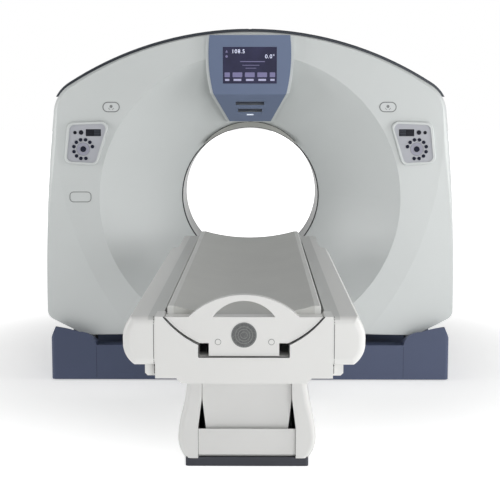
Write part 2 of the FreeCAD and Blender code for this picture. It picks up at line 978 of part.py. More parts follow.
def band_body(name, inset, front, rear):
    """The gantry's outline grown outward, as a block between two depths."""
    body = new_body(name, z=d.iso_height)
    outline = new_sketch(body, name + "_outline", "XZ_Plane", rear)
    add_loop(outline, gantry_outline(inset))
    pad(body, name + "_pad", outline, front - rear)
    round_shoulders(body, name + "_shoulders", inset)
    return body


def top_cover():
    """The dark band over the arch between the front and rear covers, notched in the middle."""
    split = d.face_depth - d.face_return
    outer = band_body("band_outer", -d.band_thickness, split, -d.band_rear)
    round_edges(outer, "band_edges", d.band_edge_radius, on_level("Y", -split))
    inner = band_body("band_inner", -d.seat_gap, split + 1, -d.band_rear - 1)
    reach = d.half_width + d.band_thickness + OVERSHOOT
    below = box_body(
        "band_below",
        -reach,
        reach,
        -split - 1,
        d.band_rear + 1,
        size(0),
        d.iso_height + d.band_end_rise,
    )
    notch = new_body("band_notch", z=d.iso_height)
    cut_out = new_sketch(notch, "band_notch_outline", "XZ_Plane", split - d.band_notch_length)
    tip = d.top_rise + d.band_thickness * 0.3
    wide = d.band_thickness * 0.7
    add_loop(cut_out, [(0, tip), (wide, tip + d.band_thickness), (-wide, tip + d.band_thickness)])
    pad(notch, "band_notch_pad", cut_out, d.band_notch_length + 1)
    return combine("Part::Cut", "top_cover", outer, below, inner, notch)


def bore_liner():
    """The thin window ring that closes the gap between the two covers inside the bore."""
    body = new_body("bore_liner", z=d.iso_height)
    sketch = new_sketch(body, "liner_section", "XY_Plane")
    reach = d.throat_depth + 2
    add_loop(sketch, rectangle(d.bore_radius, -reach, d.bore_radius + d.liner_wall, reach))
    turn(body, "liner_ring", sketch)
    return body


# ---------------------------------------------------------------- control panels


def control_depths():
    """Y of the tray's front, of the plate's front and of the plate's back."""
    front = d.face_depth + d.control_stand
    plate_front = front - d.control_plate_recess
    return front, plate_front, plate_front - d.control_plate_wall


def key_places():
    """Name, x, z and radius of every key, about the middle of the left panel."""
    middle_x, middle_z = d.key_middle_x, d.key_middle_rise
    places = []
    for number in range(KEYS_ON_RING):
        angle = KEY_START + KEY_STEP * number
        x = middle_x + d.key_ring_radius * cosine(angle)
        z = middle_z + d.key_ring_radius * sine(angle)
        places.append((f"key_{number + 1:02d}", x, z, d.key_radius))
    places.append(("centre_key", middle_x, middle_z, d.centre_key_radius))
    places.append(("round_key", d.round_key_x, d.round_key_rise, d.round_key_radius))
    return places


def control_panel(hand, side):
    """A tray, its plate and its keys. The right panel mirrors the left one."""
    x, z = control_place()
    front, plate_front, plate_back = control_depths()
    back = inner_wall()
    flange_wall = 4

    tray = new_body(f"control_surround_{hand}", z=d.iso_height)
    rim = new_sketch(tray, f"{hand}_rim", "XZ_Plane", back)
    add_loop(rim, control_outline(d.control_margin, d.control_corner), side)
    pad(tray, f"{hand}_rim_pad", rim, front - back)
    bevel_edges(tray, f"{hand}_rim_edge", flange_wall, on_level("Y", -front))
    flange = new_sketch(tray, f"{hand}_flange", "XZ_Plane", back - flange_wall)
    wide = d.control_margin + d.control_flange
    add_loop(flange, control_outline(wide, d.control_corner + d.control_flange), side)
    pad(tray, f"{hand}_flange_pad", flange, flange_wall)
    seat = new_sketch(tray, f"{hand}_seat", "XZ_Plane", plate_back)
    add_loop(seat, control_outline(0, d.plate_corner), side)
    cut(tray, f"{hand}_seat_cut", seat, d.control_stand + d.cover_wall, reverse=True)
    ledge = d.control_plate_wall * 2
    wiring = new_sketch(tray, f"{hand}_wiring", "XZ_Plane", back - flange_wall - 1)
    add_loop(wiring, control_outline(-ledge, d.plate_corner - ledge), side)
    cut(tray, f"{hand}_wiring_cut", wiring, plate_back - back + flange_wall + 2, reverse=True)
    node(f"control_surround_{hand}", tray)

    plate = new_body(f"control_plate_{hand}", z=d.iso_height)
    face = new_sketch(plate, f"{hand}_plate_outline", "XZ_Plane", plate_back)
    add_loop(face, control_outline(-d.seat_gap, d.plate_corner - d.seat_gap), side)
    pad(plate, f"{hand}_plate_pad", face, d.control_plate_wall)
    holes = new_sketch(plate, f"{hand}_key_holes", "XZ_Plane", plate_back - 1)
    for _, px, pz, radius in key_places():
        add_circle(holes, (x + px) * side, z + pz, radius + d.seat_gap)
    cut(plate, f"{hand}_key_hole_cut", holes, d.control_plate_wall + 2, reverse=True)
    node(f"control_plate_{hand}", plate)

    for name, px, pz, radius in key_places():
        key = new_body(f"{hand}_{name}", z=d.iso_height)
        stem = new_sketch(key, f"{hand}_{name}_stem", "XZ_Plane", plate_back - d.key_travel)
        add_circle(stem, (x + px) * side, z + pz, radius)
        pad(key, f"{hand}_{name}_pad", stem, plate_front + d.key_stand - plate_back + d.key_travel)
        bevel_edges(key, f"{hand}_{name}_edge", d.key_bevel, on_level("Y", -plate_front - d.key_stand))
        foot = new_sketch(key, f"{hand}_{name}_foot", "XZ_Plane", plate_back - d.seat_gap - d.key_flange)
        add_circle(foot, (x + px) * side, z + pz, radius + d.key_bevel)
        pad(key, f"{hand}_{name}_flange", foot, d.key_flange)
        node(f"{hand}_{name}", key)


# ---------------------------------------------------------------- gantry frame and rotor


def tilt_frame():
    """The plate that the bearing, rotor and covers hang on, with a trunnion on each side."""
    body = new_body("tilt_frame", z=d.iso_height)
    plate = new_sketch(body, "frame_plate", "XZ_Plane", -d.ring_front - d.ring_thickness)
    add_loop(
        plate,
        rectangle(-d.ring_half_width, -d.ring_half_height, d.ring_half_width, d.ring_half_height),
    )
    add_circle(plate, 0, 0, d.bearing_radius)
    pad(body, "frame_plate_pad", plate, d.ring_thickness)
    round_edges(body, "frame_plate_corners", d.ring_corner, along("Y"))
    race = new_sketch(body, "bearing_race", "XY_Plane")
    add_loop(
        race,
        rectangle(
            d.bearing_radius, d.drum_plate, d.bearing_radius + d.bearing_wall, d.ring_front + 1
        ),
    )
    turn(body, "bearing_race_ring", race)
    arms = new_sketch(body, "trunnion_arms", "XZ_Plane", -d.ring_front - d.ring_thickness)
    for side in (1, -1):
        root_x = d.ring_half_width - d.ring_corner / 2
        add_loop(
            arms,
            [
                (root_x, -d.arm_half_height * 1.6),
                (d.arm_outer, -d.arm_half_height),
                (d.arm_outer, d.arm_half_height),
                (root_x, d.arm_half_height * 1.6),
            ],
            side,
        )
    pad(body, "trunnion_arm_pad", arms, d.ring_thickness)
    knuckles = new_sketch(body, "trunnion_knuckles", "XZ_Plane", -d.ring_front - 1)
    for side in (1, -1):
        add_loop(
            knuckles,
            rectangle(d.arm_inner, -d.arm_half_height * 0.9, d.arm_outer, d.arm_half_height * 0.9),
            side,
        )
    pad(body, "trunnion_knuckle_pad", knuckles, d.ring_front + d.arm_front)
    for side, hand in ((1, "right"), (-1, "left")):
        start = d.arm_outer - 1 if side > 0 else -d.trunnion_tip
        pin_sketch = new_sketch(body, f"trunnion_{hand}", "YZ_Plane", start)
        add_circle(pin_sketch, 0, 0, d.trunnion_radius)
        pad(body, f"trunnion_{hand}_pin", pin_sketch, d.trunnion_tip - d.arm_outer + 1)
    posts = new_sketch(body, "cover_posts", "XZ_Plane", -inner_wall())
    for x in (d.post_x, -d.post_x):
        for z in (d.post_rise, -d.post_rise):
            add_circle(posts, x, z, d.post_radius)
    pad(body, "cover_post_pad", posts, inner_wall() - d.ring_front - 1)
    return body


def rotor_drum():
    """The rotating disc with its rim and the inner race of the bearing."""
    body = new_body("rotor_drum", z=d.iso_height)
    sketch = new_sketch(body, "drum_section", "XY_Plane")
    race = d.bearing_radius - d.seat_gap
    rim = d.drum_radius - d.drum_rim_wall
    add_loop(
        sketch,
        [
            (d.drum_inner, 0),
            (rim, 0),
            (rim, -d.drum_rim_depth),
            (d.drum_radius, -d.drum_rim_depth),
            (d.drum_radius, d.drum_plate - d.seat_gap),
            (race, d.drum_plate - d.seat_gap),
            (race, d.ring_front),
            (d.drum_inner, d.ring_front),
        ],
    )
    turn(body, "drum_turn", sketch)
    lighten = new_sketch(body, "drum_lightening", "XZ_Plane", 1)
    along_x, along_z = d.tube_orbit * cosine(45), d.tube_orbit * sine(45)
    for side in (1, -1):
        add_circle(lighten, along_x * side, along_z, d.lightening_radius)
    cut(body, "drum_lightening_cut", lighten, d.drum_plate + 2)
    return body


def xray_tube():
    """The tube housing above the bore with its beam collimator pointing at the detector."""
    body = new_body("xray_tube", z=d.iso_height)
    housing = new_sketch(body, "tube_housing", "XZ_Plane", 0)
    add_circle(housing, 0, d.tube_orbit, d.tube_radius)
    pad(body, "tube_housing_pad", housing, d.tube_length)
    bevel_edges(body, "tube_housing_end", d.tube_bevel, on_level("Y", -d.tube_length))
    beam = new_sketch(body, "collimator", "XZ_Plane", d.collimator_setback)
    low = d.drum_inner + d.collimator_clearance
    middle = d.tube_orbit
    exit_half, entry_half = d.collimator_exit, d.collimator_entry
    add_loop(beam, [(-exit_half, low), (exit_half, low), (entry_half, middle), (-entry_half, middle)])
    pad(body, "collimator_pad", beam, d.collimator_depth)
    return body


def arc_block(name, inner, outer, half_angle, centre_angle, depth):
    """A curved block on the drum, centred on an angle from +X, standing forward by depth."""
    body = new_body(name, z=d.iso_height)
    sketch = new_sketch(body, name + "_section", "XZ_Plane", 0)
    start = size(centre_angle) - half_angle
    end = size(centre_angle) + half_angle
    add_loop(
        sketch,
        [
            (inner * cosine(start), inner * sine(start)),
            (outer * cosine(start), outer * sine(start), outer),
            (outer * cosine(end), outer * sine(end)),
            (inner * cosine(end), inner * sine(end), -inner),
        ],
    )
    pad(body, name + "_pad", sketch, depth)
    return body


def detector_array():
    """The arc of detectors below the bore, facing the tube."""
    return arc_block(
        "detector_array", d.detector_inner, d.detector_outer, d.detector_half_angle, -90, d.detector_depth
    )


def hv_generator():
    """The high-voltage tank at the side of the bore."""
    return arc_block("hv_generator", d.tank_inner, d.tank_outer, d.tank_half_angle, 0, d.tank_depth)


def slip_ring():
    """The contact ring on the back of the drum."""
    body = new_body("slip_ring", z=d.iso_height)
    sketch = new_sketch(body, "slip_section", "XY_Plane")
    front = d.drum_plate - d.seat_gap
    back = d.ring_front - d.slip_setback
    tracks = 3
    points = [(d.slip_inner, front), (d.slip_outer, front)]
    pitch = (d.slip_outer - d.slip_inner) / (tracks * 2 + 1)
    for step in range(tracks * 2 + 1):
        level = back if step % 2 == 0 else back - d.slip_groove
        points.append((d.slip_outer - pitch * step, level))
        points.append((d.slip_outer - pitch * (step + 1), level))
    add_loop(sketch, points)
    turn(body, "slip_turn", sketch)
    return body


def stanchion(hand, side):
    """The post that carries one trunnion: an I-section with a bearing head and a flared foot."""
    name = f"stanchion_{hand}"
    body = new_body(name)
    start = d.stanchion_x * side - d.stanchion_wide / 2
    sketch = new_sketch(body, name + "_profile", "YZ_Plane", start)
    foot = d.foot_height + d.frame_thickness
    flange = foot + d.stanchion_flange
    half = d.stanchion_half
    neck = d.iso_height
    add_loop(
        sketch,
        [
            (-d.stanchion_foot, foot),
            (d.stanchion_foot, foot),
            (d.stanchion_foot, flange),
            (half, flange),
            (half, neck),
            (-half, neck),
            (-half, flange),
            (-d.stanchion_foot, flange),
        ],
    )
    pad(body, name + "_pad", sketch, d.stanchion_wide)
    head = new_sketch(body, name + "_head", "YZ_Plane", start)
    add_circle(head, 0, d.iso_height, d.stanchion_head)
    pad(body, name + "_head_pad", head, d.stanchion_wide)
    relief = rectangle(
        -half * 0.6, flange + half, half * 0.6, d.iso_height - d.stanchion_head * 1.15
    )
    for face, back in ((start, False), (start + d.stanchion_wide, True)):
        label = "outer" if back else "inner"
        pocket = new_sketch(body, f"{name}_{label}_relief", "YZ_Plane", face)
        add_loop(pocket, relief)
        cut(body, f"{name}_{label}_relief_cut", pocket, d.stanchion_relief, reverse=not back)
    bore = new_sketch(body, name + "_bore", "YZ_Plane", start - 1)
    add_circle(bore, 0, d.iso_height, d.trunnion_radius + d.seat_gap)
    cut(body, name + "_bore_cut", bore, d.stanchion_wide + 2, reverse=True)
    return body


# ---------------------------------------------------------------- gantry base


def tilt_sweep(name, clearance):
    """The space under the gantry that its lower edge passes through as it tilts."""
    body = new_body(name, z=d.iso_height)
    sketch = new_sketch(body, name + "_section", "XY_Plane")
    reach = d.base_half_width + OVERSHOOT * 3
    inner = d.sweep_radius + clearance
    outer = d.sweep_outer_radius + clearance
    add_loop(
        sketch,
        [
            (-reach, 0),
            (reach, 0),
            (reach, outer),
            (d.sweep_knee, inner),
            (-d.sweep_knee, inner),
            (-reach, outer),
        ],
    )
    turn(body, name + "_turn", sketch, axis="H_Axis")
    return body


def base_side_outline(inset):
    """One end of the base from the front, with the corner cut off at the top."""
    inset = size(inset)
    right = d.base_half_width - inset
    return [
        (d.base_seam, d.base_skirt),
        (right, d.base_skirt),
        (right, d.base_corner_height - inset * 0.5),
        (right - d.base_corner_inset, d.base_side_height - inset, d.stanchion_foot * 4),
        (
            d.base_seam + d.base_step_run,
            d.base_side_height - inset - d.base_step_drop,
            d.base_side_height * 0.3,
        ),
        (d.base_seam, d.base_centre_height - inset),
    ]


def upright_at(reach):
    """True for the upright edges at one distance to either side of the middle."""
    upright = along("Z")
    reach = size(reach).value
    return lambda edge: upright(edge) and abs(abs(edge.BoundBox.XMin) - reach) < 0.01


def base_cover_side(hand, side):
    """A cover at one end of the base: hollow, dished on top, slotted for the stanchion."""
    name = f"base_cover_{hand}"
    outer = new_body(name + "_outer")
    sketch = new_sketch(outer, name + "_outline", "XZ_Plane", -d.base_depth)
    add_loop(sketch, base_side_outline(0), side)
    pad(outer, name + "_pad", sketch, d.base_depth * 2)
    round_edges(outer, name + "_corners", d.base_edge_radius, upright_at(d.base_half_width))
    inner = new_body(name + "_inner")
    hollow = new_sketch(inner, name + "_hollow", "XZ_Plane", -d.base_depth + d.base_wall)
    points = base_side_outline(d.base_wall)
    points = [(points[0][0] - 1, size(-1)), (points[1][0], size(-1))] + points[2:-1] + [
        (d.base_seam - 1, d.base_centre_height - d.base_wall)
    ]
    add_loop(hollow, points, side)
    pad(inner, name + "_hollow_pad", hollow, (d.base_depth - d.base_wall) * 2)
    inner_radius = d.base_edge_radius - d.base_wall
    round_edges(inner, name + "_inner_corners", inner_radius, upright_at(d.base_half_width - d.base_wall))
    sweep = tilt_sweep(name + "_sweep", 0)
    inner_sweep = tilt_sweep(name + "_inner_sweep", d.base_wall)
    room = combine("Part::Cut", name + "_room", inner, inner_sweep)
    near = d.stanchion_x - d.stanchion_wide / 2 - d.base_wall
    far = d.stanchion_x + d.stanchion_wide / 2 + d.base_wall
    left, right = (near, far) if side > 0 else (-far, -near)
    half = d.stanchion_half + d.slot_margin
    floor = d.foot_height + d.frame_thickness + 1
    slot = box_body(name + "_slot", left, right, -half, half, floor, d.iso_height)
    return combine("Part::Cut", name, outer, sweep, room, slot)


def base_cover_centre():
    """The long middle cover of the base: front wall, dished top and rear wall."""
    name = "base_cover_centre"
    half = d.base_seam - d.seat_gap
    outer = box_body(
        name + "_outer", -half, half, -d.base_depth, d.base_depth, d.base_skirt, d.base_centre_height
    )
    depth = d.base_depth - d.base_wall
    inner = box_body(
        name + "_inner",
        -half - 1,
        half + 1,
        -depth,
        depth,
        size(-1),
        d.base_centre_height - d.base_wall,
    )
    sweep = tilt_sweep(name + "_sweep", 0)
    inner_sweep = tilt_sweep(name + "_inner_sweep", d.base_wall)
    room = combine("Part::Cut", name + "_room", inner, inner_sweep)
    gap = d.seat_gap
    tunnel = box_body(
        name + "_tunnel",
        -d.beam_half_width - gap,
        d.beam_half_width + gap,
        -d.base_depth - 1,
        -d.base_depth + d.base_wall + 1,
        size(0),
        d.foot_height + d.beam_height + gap,
    )
    return combine("Part::Cut", name, outer, sweep, room, tunnel)


def base_frame():
    """The steel frame under the gantry, with feet, anchor holes and the beam that locates the table."""
    body = new_body("base_frame")
    half_x = d.base_half_width - d.base_wall - d.seat_gap
    half_y = d.base_depth - d.base_wall - d.seat_gap
    plate = new_sketch(body, "frame_plan", "XY_Plane", d.foot_height)
    add_loop(plate, rectangle(-half_x, -half_y, half_x, half_y))
    pad(body, "frame_plan_pad", plate, d.frame_thickness)
    round_edges(body, "frame_corners", d.base_edge_radius, along("Z"))
    pans = new_sketch(body, "frame_pans", "XY_Plane", d.foot_height + d.frame_thickness)
    inner = d.stanchion_x - d.stanchion_wide / 2 - d.frame_rib
    rib = d.frame_rib / 2
    spans = ((-inner, -inner / 3 - rib), (-inner / 3 + rib, inner / 3 - rib), (inner / 3 + rib, inner))
    for x0, x1 in spans:
        for y0, y1 in ((-half_y + d.frame_rib, -rib), (rib, half_y - d.frame_rib)):
            add_loop(pans, rectangle(x0, y0, x1, y1))
    cut(body, "frame_pan_cut", pans, d.frame_thickness - d.pan_floor)
    feet = new_sketch(body, "frame_feet", "XY_Plane")
    for x in (d.anchor_x, -d.anchor_x):
        for y in (d.anchor_y, -d.anchor_y):
            add_circle(feet, x, y, d.foot_radius)
    pad(body, "frame_feet_pad", feet, d.foot_height)
    beam = new_sketch(body, "table_beam", "XY_Plane", d.foot_height)
    add_loop(beam, rectangle(-d.beam_half_width, -d.plinth_rear, d.beam_half_width, -half_y + 1))
    pad(body, "table_beam_pad", beam, d.beam_height)
    anchors = new_sketch(body, "frame_anchors", "XY_Plane", -1)
    for x in (d.anchor_x, -d.anchor_x):
        for y in (d.anchor_y, -d.anchor_y):
            add_circle(anchors, x, y, d.anchor_hole)
    cut(body, "frame_anchor_cut", anchors, d.foot_height + d.frame_thickness + 2, reverse=True)
    return body


# ---------------------------------------------------------------- pedestal and lift


def table_plinth():
    """The floor plate of the table with its anchor holes."""
    body = new_body("table_plinth")
    plan = new_sketch(body, "plinth_plan", "XY_Plane")
    add_loop(plan, rectangle(-d.plinth_half, -d.plinth_front, d.plinth_half, -d.plinth_rear))
    pad(body, "plinth_pad", plan, d.plinth_height)
    round_edges(body, "plinth_corners", d.plinth_corner, along("Z"))
    anchors = new_sketch(body, "plinth_anchors", "XY_Plane", -1)
    for x in (d.plinth_anchor_x, -d.plinth_anchor_x):
        for y in (-d.plinth_anchor_front, -d.plinth_anchor_rear):
            add_circle(anchors, x, y, d.anchor_hole)
    cut(body, "plinth_anchor_cut", anchors, d.plinth_height + 2, reverse=True)
    return body


def leg_outline(inset):
    """Section of a pedestal side cover from the front, for the right side."""
    inset = size(inset)
    bow = d.side_wall / 2
    bulge_bow = sag_radius((d.leg_waist_height - d.leg_bulge_height) / 2, bow)
    foot_bow = sag_radius((d.leg_bulge_height - d.plinth_height) / 2, bow * 2)
    return [
        (d.leg_inner + inset, d.plinth_height),
        (d.leg_foot_x - inset, d.plinth_height, foot_bow),
        (d.leg_bulge_x - inset, d.leg_bulge_height, bulge_bow),
        (d.leg_waist_x - inset, d.leg_waist_height),
        (d.leg_top_x - inset, d.leg_height - inset),
        (d.leg_neck_x + inset, d.leg_height - inset),
        (d.leg_neck_x + inset, d.leg_neck_height),
        (d.leg_inner + inset, d.leg_step_height),
    ]


def pedestal_side(hand, side):
    """A bulging cover beside the lift column, hollow and open below."""
    name = f"pedestal_side_{hand}"
    body = new_body(name)
    length = d.leg_front - d.leg_rear
    outline = new_sketch(body, name + "_outline", "XZ_Plane", d.leg_rear)
    add_loop(outline, leg_outline(0), side)
    pad(body, name + "_pad", outline, length)
    round_edges(body, name + "_ends", d.leg_edge_radius, outer_end_edges(side))
    wall = d.side_wall * 0.5
    hollow = new_sketch(body, name + "_hollow", "XZ_Plane", d.leg_rear + wall)
    add_loop(hollow, leg_outline(wall), side)
    cut(body, name + "_hollow_cut", hollow, length - wall * 2, reverse=True)
    return body


def outer_end_edges(side):
    """Edges around the ends of a pedestal side cover, on its outer face."""

    def test(edge):
        box = edge.BoundBox
        flat = box.YLength < 0.01
        upright = box.ZLength > 60
        outside = (box.XMin + box.XMax) / 2 * side > d.leg_inner.value + 5
        return flat and upright and outside

    return test


def pedestal_end_panels():
    """The low panels that close the pedestal at its foot end and its head end."""
    body = new_body("pedestal_end_panels")
    half = d.leg_inner - d.seat_gap
    ends = ((-d.leg_front + d.panel_setback, 1), (-d.leg_rear - d.panel_setback, -1))
    for number, (face, inward) in enumerate(ends):
        panel = new_sketch(body, f"end_panel_{number}", "YZ_Plane", -half)
        skin = face + d.panel_wall * inward
        kick = face + d.panel_kick * inward
        kick_front = kick - d.panel_wall * inward
        lip = d.panel_gap_height + d.panel_lip
        add_loop(
            panel,
            [
                (face, d.panel_gap_height),
                (face, d.panel_height),
                (skin, d.panel_height),
                (skin, lip),
                (kick, lip),
                (kick, d.plinth_height),
                (kick_front, d.plinth_height),
                (kick_front, d.panel_gap_height),
            ],
        )
        pad(body, f"end_panel_{number}_pad", panel, half * 2)
    return body


def column_tube(body, name, step, low, high):
    """One stage of the lift column: a rectangular tube, each stage a fit inside the one before."""
    shrink = (d.column_wall + d.column_clearance) * step
    half = d.column_half - shrink
    front = -d.column_front + shrink
    rear = -d.column_rear - shrink
    tube = new_sketch(body, name + "_section", "XY_Plane", low)
    add_loop(tube, rectangle(-half, front, half, rear))
    wall = d.column_wall
    add_loop(tube, rectangle(-half + wall, front + wall, half - wall, rear - wall))
    pad(body, name + "_tube", tube, high - low)


def stage_heights(step):
    """Bottom and top of a lift stage at rest. Each stage moves a third further than the one before."""
    rise = d.lift_down * step / 3
    frame_low = d.channel_floor - d.frame_wall - d.lift_down
    top_room = d.column_top_gap
    if step == 0:
        return d.plinth_height, frame_low - top_room * 3
    if step == 3:
        return d.column_low + rise, frame_low + rise
    return d.column_low + rise, frame_low - top_room + rise


def column_base():
    body = new_body("column_base")
    column_tube(body, "column_base", 0, *stage_heights(0))
    return body


def column_stage_2():
    """The second lift stage with the tapered shroud that hides the fixed tube."""
    body = new_body("column_stage_2")
    low, high = stage_heights(1)
    column_tube(body, "stage_2", 1, low, high)
    cap = new_sketch(body, "shroud_cap", "XY_Plane", high - d.column_wall)
    inner = d.column_half - d.column_wall - d.column_clearance - 1
    add_loop(
        cap,
        rectangle(-d.shroud_top_half, -d.shroud_front, d.shroud_top_half, -d.shroud_rear),
    )
    shrink = d.column_wall + d.column_clearance + 1
    add_loop(
        cap,
        rectangle(-inner, -d.column_front + shrink, inner, -d.column_rear - shrink),
    )
    pad(body, "shroud_cap_pad", cap, d.column_wall)
    for side, hand in ((1, "right"), (-1, "left")):
        wall = new_sketch(body, f"shroud_{hand}", "XZ_Plane", d.shroud_rear)
        top, bottom = d.shroud_top_half, d.shroud_bottom_half
        add_loop(
            wall,
            [
                (bottom - d.shroud_wall, d.shroud_bottom),
                (bottom, d.shroud_bottom),
                (top, d.shroud_knee),
                (top, high - 1),
                (top - d.shroud_wall, high - 1),
                (top - d.shroud_wall, d.shroud_knee),
            ],
            side,
        )
        pad(body, f"shroud_{hand}_pad", wall, d.shroud_front - d.shroud_rear)
    for depth, end in ((d.shroud_rear, "rear"), (d.shroud_front - d.shroud_wall, "front")):
        wall = new_sketch(body, f"shroud_{end}", "XZ_Plane", depth)
        top, bottom = d.shroud_top_half - 1, d.shroud_bottom_half - 1
        add_loop(
            wall,
            [
                (-bottom, d.shroud_bottom),
                (bottom, d.shroud_bottom),
                (top, d.shroud_knee),
                (top, high - 1),
                (-top, high - 1),
                (-top, d.shroud_knee),
            ],
        )
        pad(body, f"shroud_{end}_pad", wall, d.shroud_wall)
    return body


def column_stage_3():
    body = new_body("column_stage_3")
    column_tube(body, "stage_3", 2, *stage_heights(2))
    return body


# ---------------------------------------------------------------- table top


def table_frame():
    """The folded channel of the table top, with the last lift stage under it."""
    body = new_body("table_frame")
    wall = d.frame_wall
    far = d.table_foot - d.foot_cover_depth
    section = new_sketch(body, "channel_section", "XZ_Plane", d.beam_end)
    flange_x = d.groove_x + d.rail_flange
    lean = (d.wing_height - d.channel_top) / (d.wing_x - d.channel_half)
    under = wall * root(lean * lean + 1)
    upper = [
        (-d.channel_half, d.channel_floor),
        (-d.channel_half, d.channel_top),
        (-d.wing_x, d.wing_height),
        (-flange_x, d.wing_height),
        (-flange_x, d.wing_height - wall),
        (-d.wing_x, d.wing_height - wall),
        (-d.channel_half - wall, d.channel_top - under + wall * lean),
        (-d.channel_half - wall, d.channel_floor - wall),
    ]
    right = [(-x, z) for x, z in reversed(upper)]
    add_loop(section, upper + right)
    pad(body, "channel_pad", section, far - d.beam_end)
    wing_start = d.cradle_head + d.wing_setback
    wings = new_sketch(body, "wing_section", "XZ_Plane", wing_start)
    for side in (1, -1):
        add_loop(
            wings,
            [
                (d.channel_half, d.channel_top),
                (d.channel_half + wall, d.channel_top - under + wall * lean),
                (d.wing_x, d.wing_height - wall),
                (flange_x, d.wing_height - wall),
                (flange_x, d.wing_height),
                (d.wing_x, d.wing_height),
            ],
            side,
        )
    pad(body, "wing_pad", wings, d.beam_end - wing_start + 1)
    low, high = stage_heights(3)
    column_tube(body, "stage_4", 3, low, high + 1)
    return body


def table_side(hand, side):
    """A side cover of the table: a bulging shell that thins to a flange at the head end."""
    name = f"table_side_{hand}"
    body = new_body(name)
    wall = d.side_wall
    length = d.table_foot - d.wide_start
    near_foot = d.table_foot - d.foot_cover_depth
    upper_bow = sag_radius((d.rail_top - d.bulge_height) / 2, wall)
    lower_bow = sag_radius((d.bulge_height - d.skirt_height) / 2, wall)
    inner_x = d.groove_x + d.rail_flange + d.seat_gap
    outline = new_sketch(body, name + "_outline", "XZ_Plane", d.wide_start)
    add_loop(
        outline,
        [
            (inner_x, d.skirt_height),
            (d.skirt_x, d.skirt_height, lower_bow),
            (d.table_bulge, d.bulge_height, upper_bow),
            (d.table_half_width, d.rail_top),
            (inner_x, d.rail_top),
        ],
        side,
    )
    pad(body, name + "_pad", outline, length)
    end = new_sketch(body, name + "_end", "XZ_Plane", near_foot + d.seat_gap)
    near_x = d.foot_cover_half + d.seat_gap
    add_loop(end, rectangle(near_x, d.skirt_height, inner_x + 2, d.rail_top), side)
    pad(body, name + "_end_pad", end, d.foot_cover_depth - d.seat_gap)
    round_edges(body, name + "_foot_edge", d.foot_edge_radius, foot_end_edges(side))
    hollow = new_sketch(body, name + "_hollow", "XZ_Plane", d.wide_start + wall)
    add_loop(
        hollow,
        [
            (inner_x - 1, d.skirt_height - 1),
            (d.skirt_x - wall, d.skirt_height - 1),
            (d.skirt_x - wall, d.skirt_height, lower_bow),
            (d.table_bulge - wall, d.bulge_height, upper_bow),
            (d.table_half_width - wall, d.rail_top - wall),
            (inner_x - 1, d.rail_top - wall),
        ],
        side,
    )
    cut(body, name + "_hollow_cut", hollow, length - wall * 4, reverse=True)
    lip = new_sketch(body, name + "_lip", "XZ_Plane", d.head_end)
    add_loop(
        lip,
        [
            (d.groove_x, d.wing_height),
            (d.groove_x + wall, d.wing_height),
            (d.groove_x + wall, d.rail_top - wall),
            (inner_x + 2, d.rail_top - wall),
            (inner_x + 2, d.rail_top),
            (d.groove_x, d.rail_top),
        ],
        side,
    )
    pad(body, name + "_lip_pad", lip, near_foot - d.head_end)
    flange = new_sketch(body, name + "_flange", "XY_Plane", d.rail_top - d.head_flange)
    add_loop(
        flange,
        [
            (d.head_half_width - d.head_corner, -d.head_end),
            (d.head_half_width, -d.head_end - d.head_corner),
            (d.head_half_width, -d.wide_start + d.head_taper),
            (d.table_half_width, -d.wide_start - 1),
            (inner_x, -d.wide_start - 1),
            (inner_x, -d.head_end),
        ],
        side,
    )
    pad(body, name + "_flange_pad", flange, d.head_flange)
    step = new_sketch(body, name + "_step", "XZ_Plane", near_foot + d.seat_gap)
    add_loop(
        step,
        [
            (near_x, d.end_step_height),
            (d.end_step_x - wall, d.end_step_height),
            (d.end_step_x, d.end_step_height + wall),
            (d.end_step_x, d.skirt_height + 2),
            (near_x, d.skirt_height + 2),
        ],
        side,
    )
    pad(body, name + "_step_pad", step, d.foot_cover_depth - d.foot_edge_radius - 1)
    return body


def foot_end_edges(side):
    """Edges around the outer face of a table side cover at the foot end."""

    def test(edge):
        box = edge.BoundBox
        flat = box.YLength < 0.01 and abs(box.YMin + d.table_foot.value) < 0.01
        outer = (box.XMin + box.XMax) / 2 * side > d.foot_cover_half.value + 4
        return flat and outer

    return test


def mouth_radius():
    """Radius of the two curved slopes of the opening in the foot cover."""
    run = d.mouth_x - d.notch_half
    rise = d.rail_top - d.notch_top
    return sag_radius(root(run * run + rise * rise) / 2, d.mouth_bow)


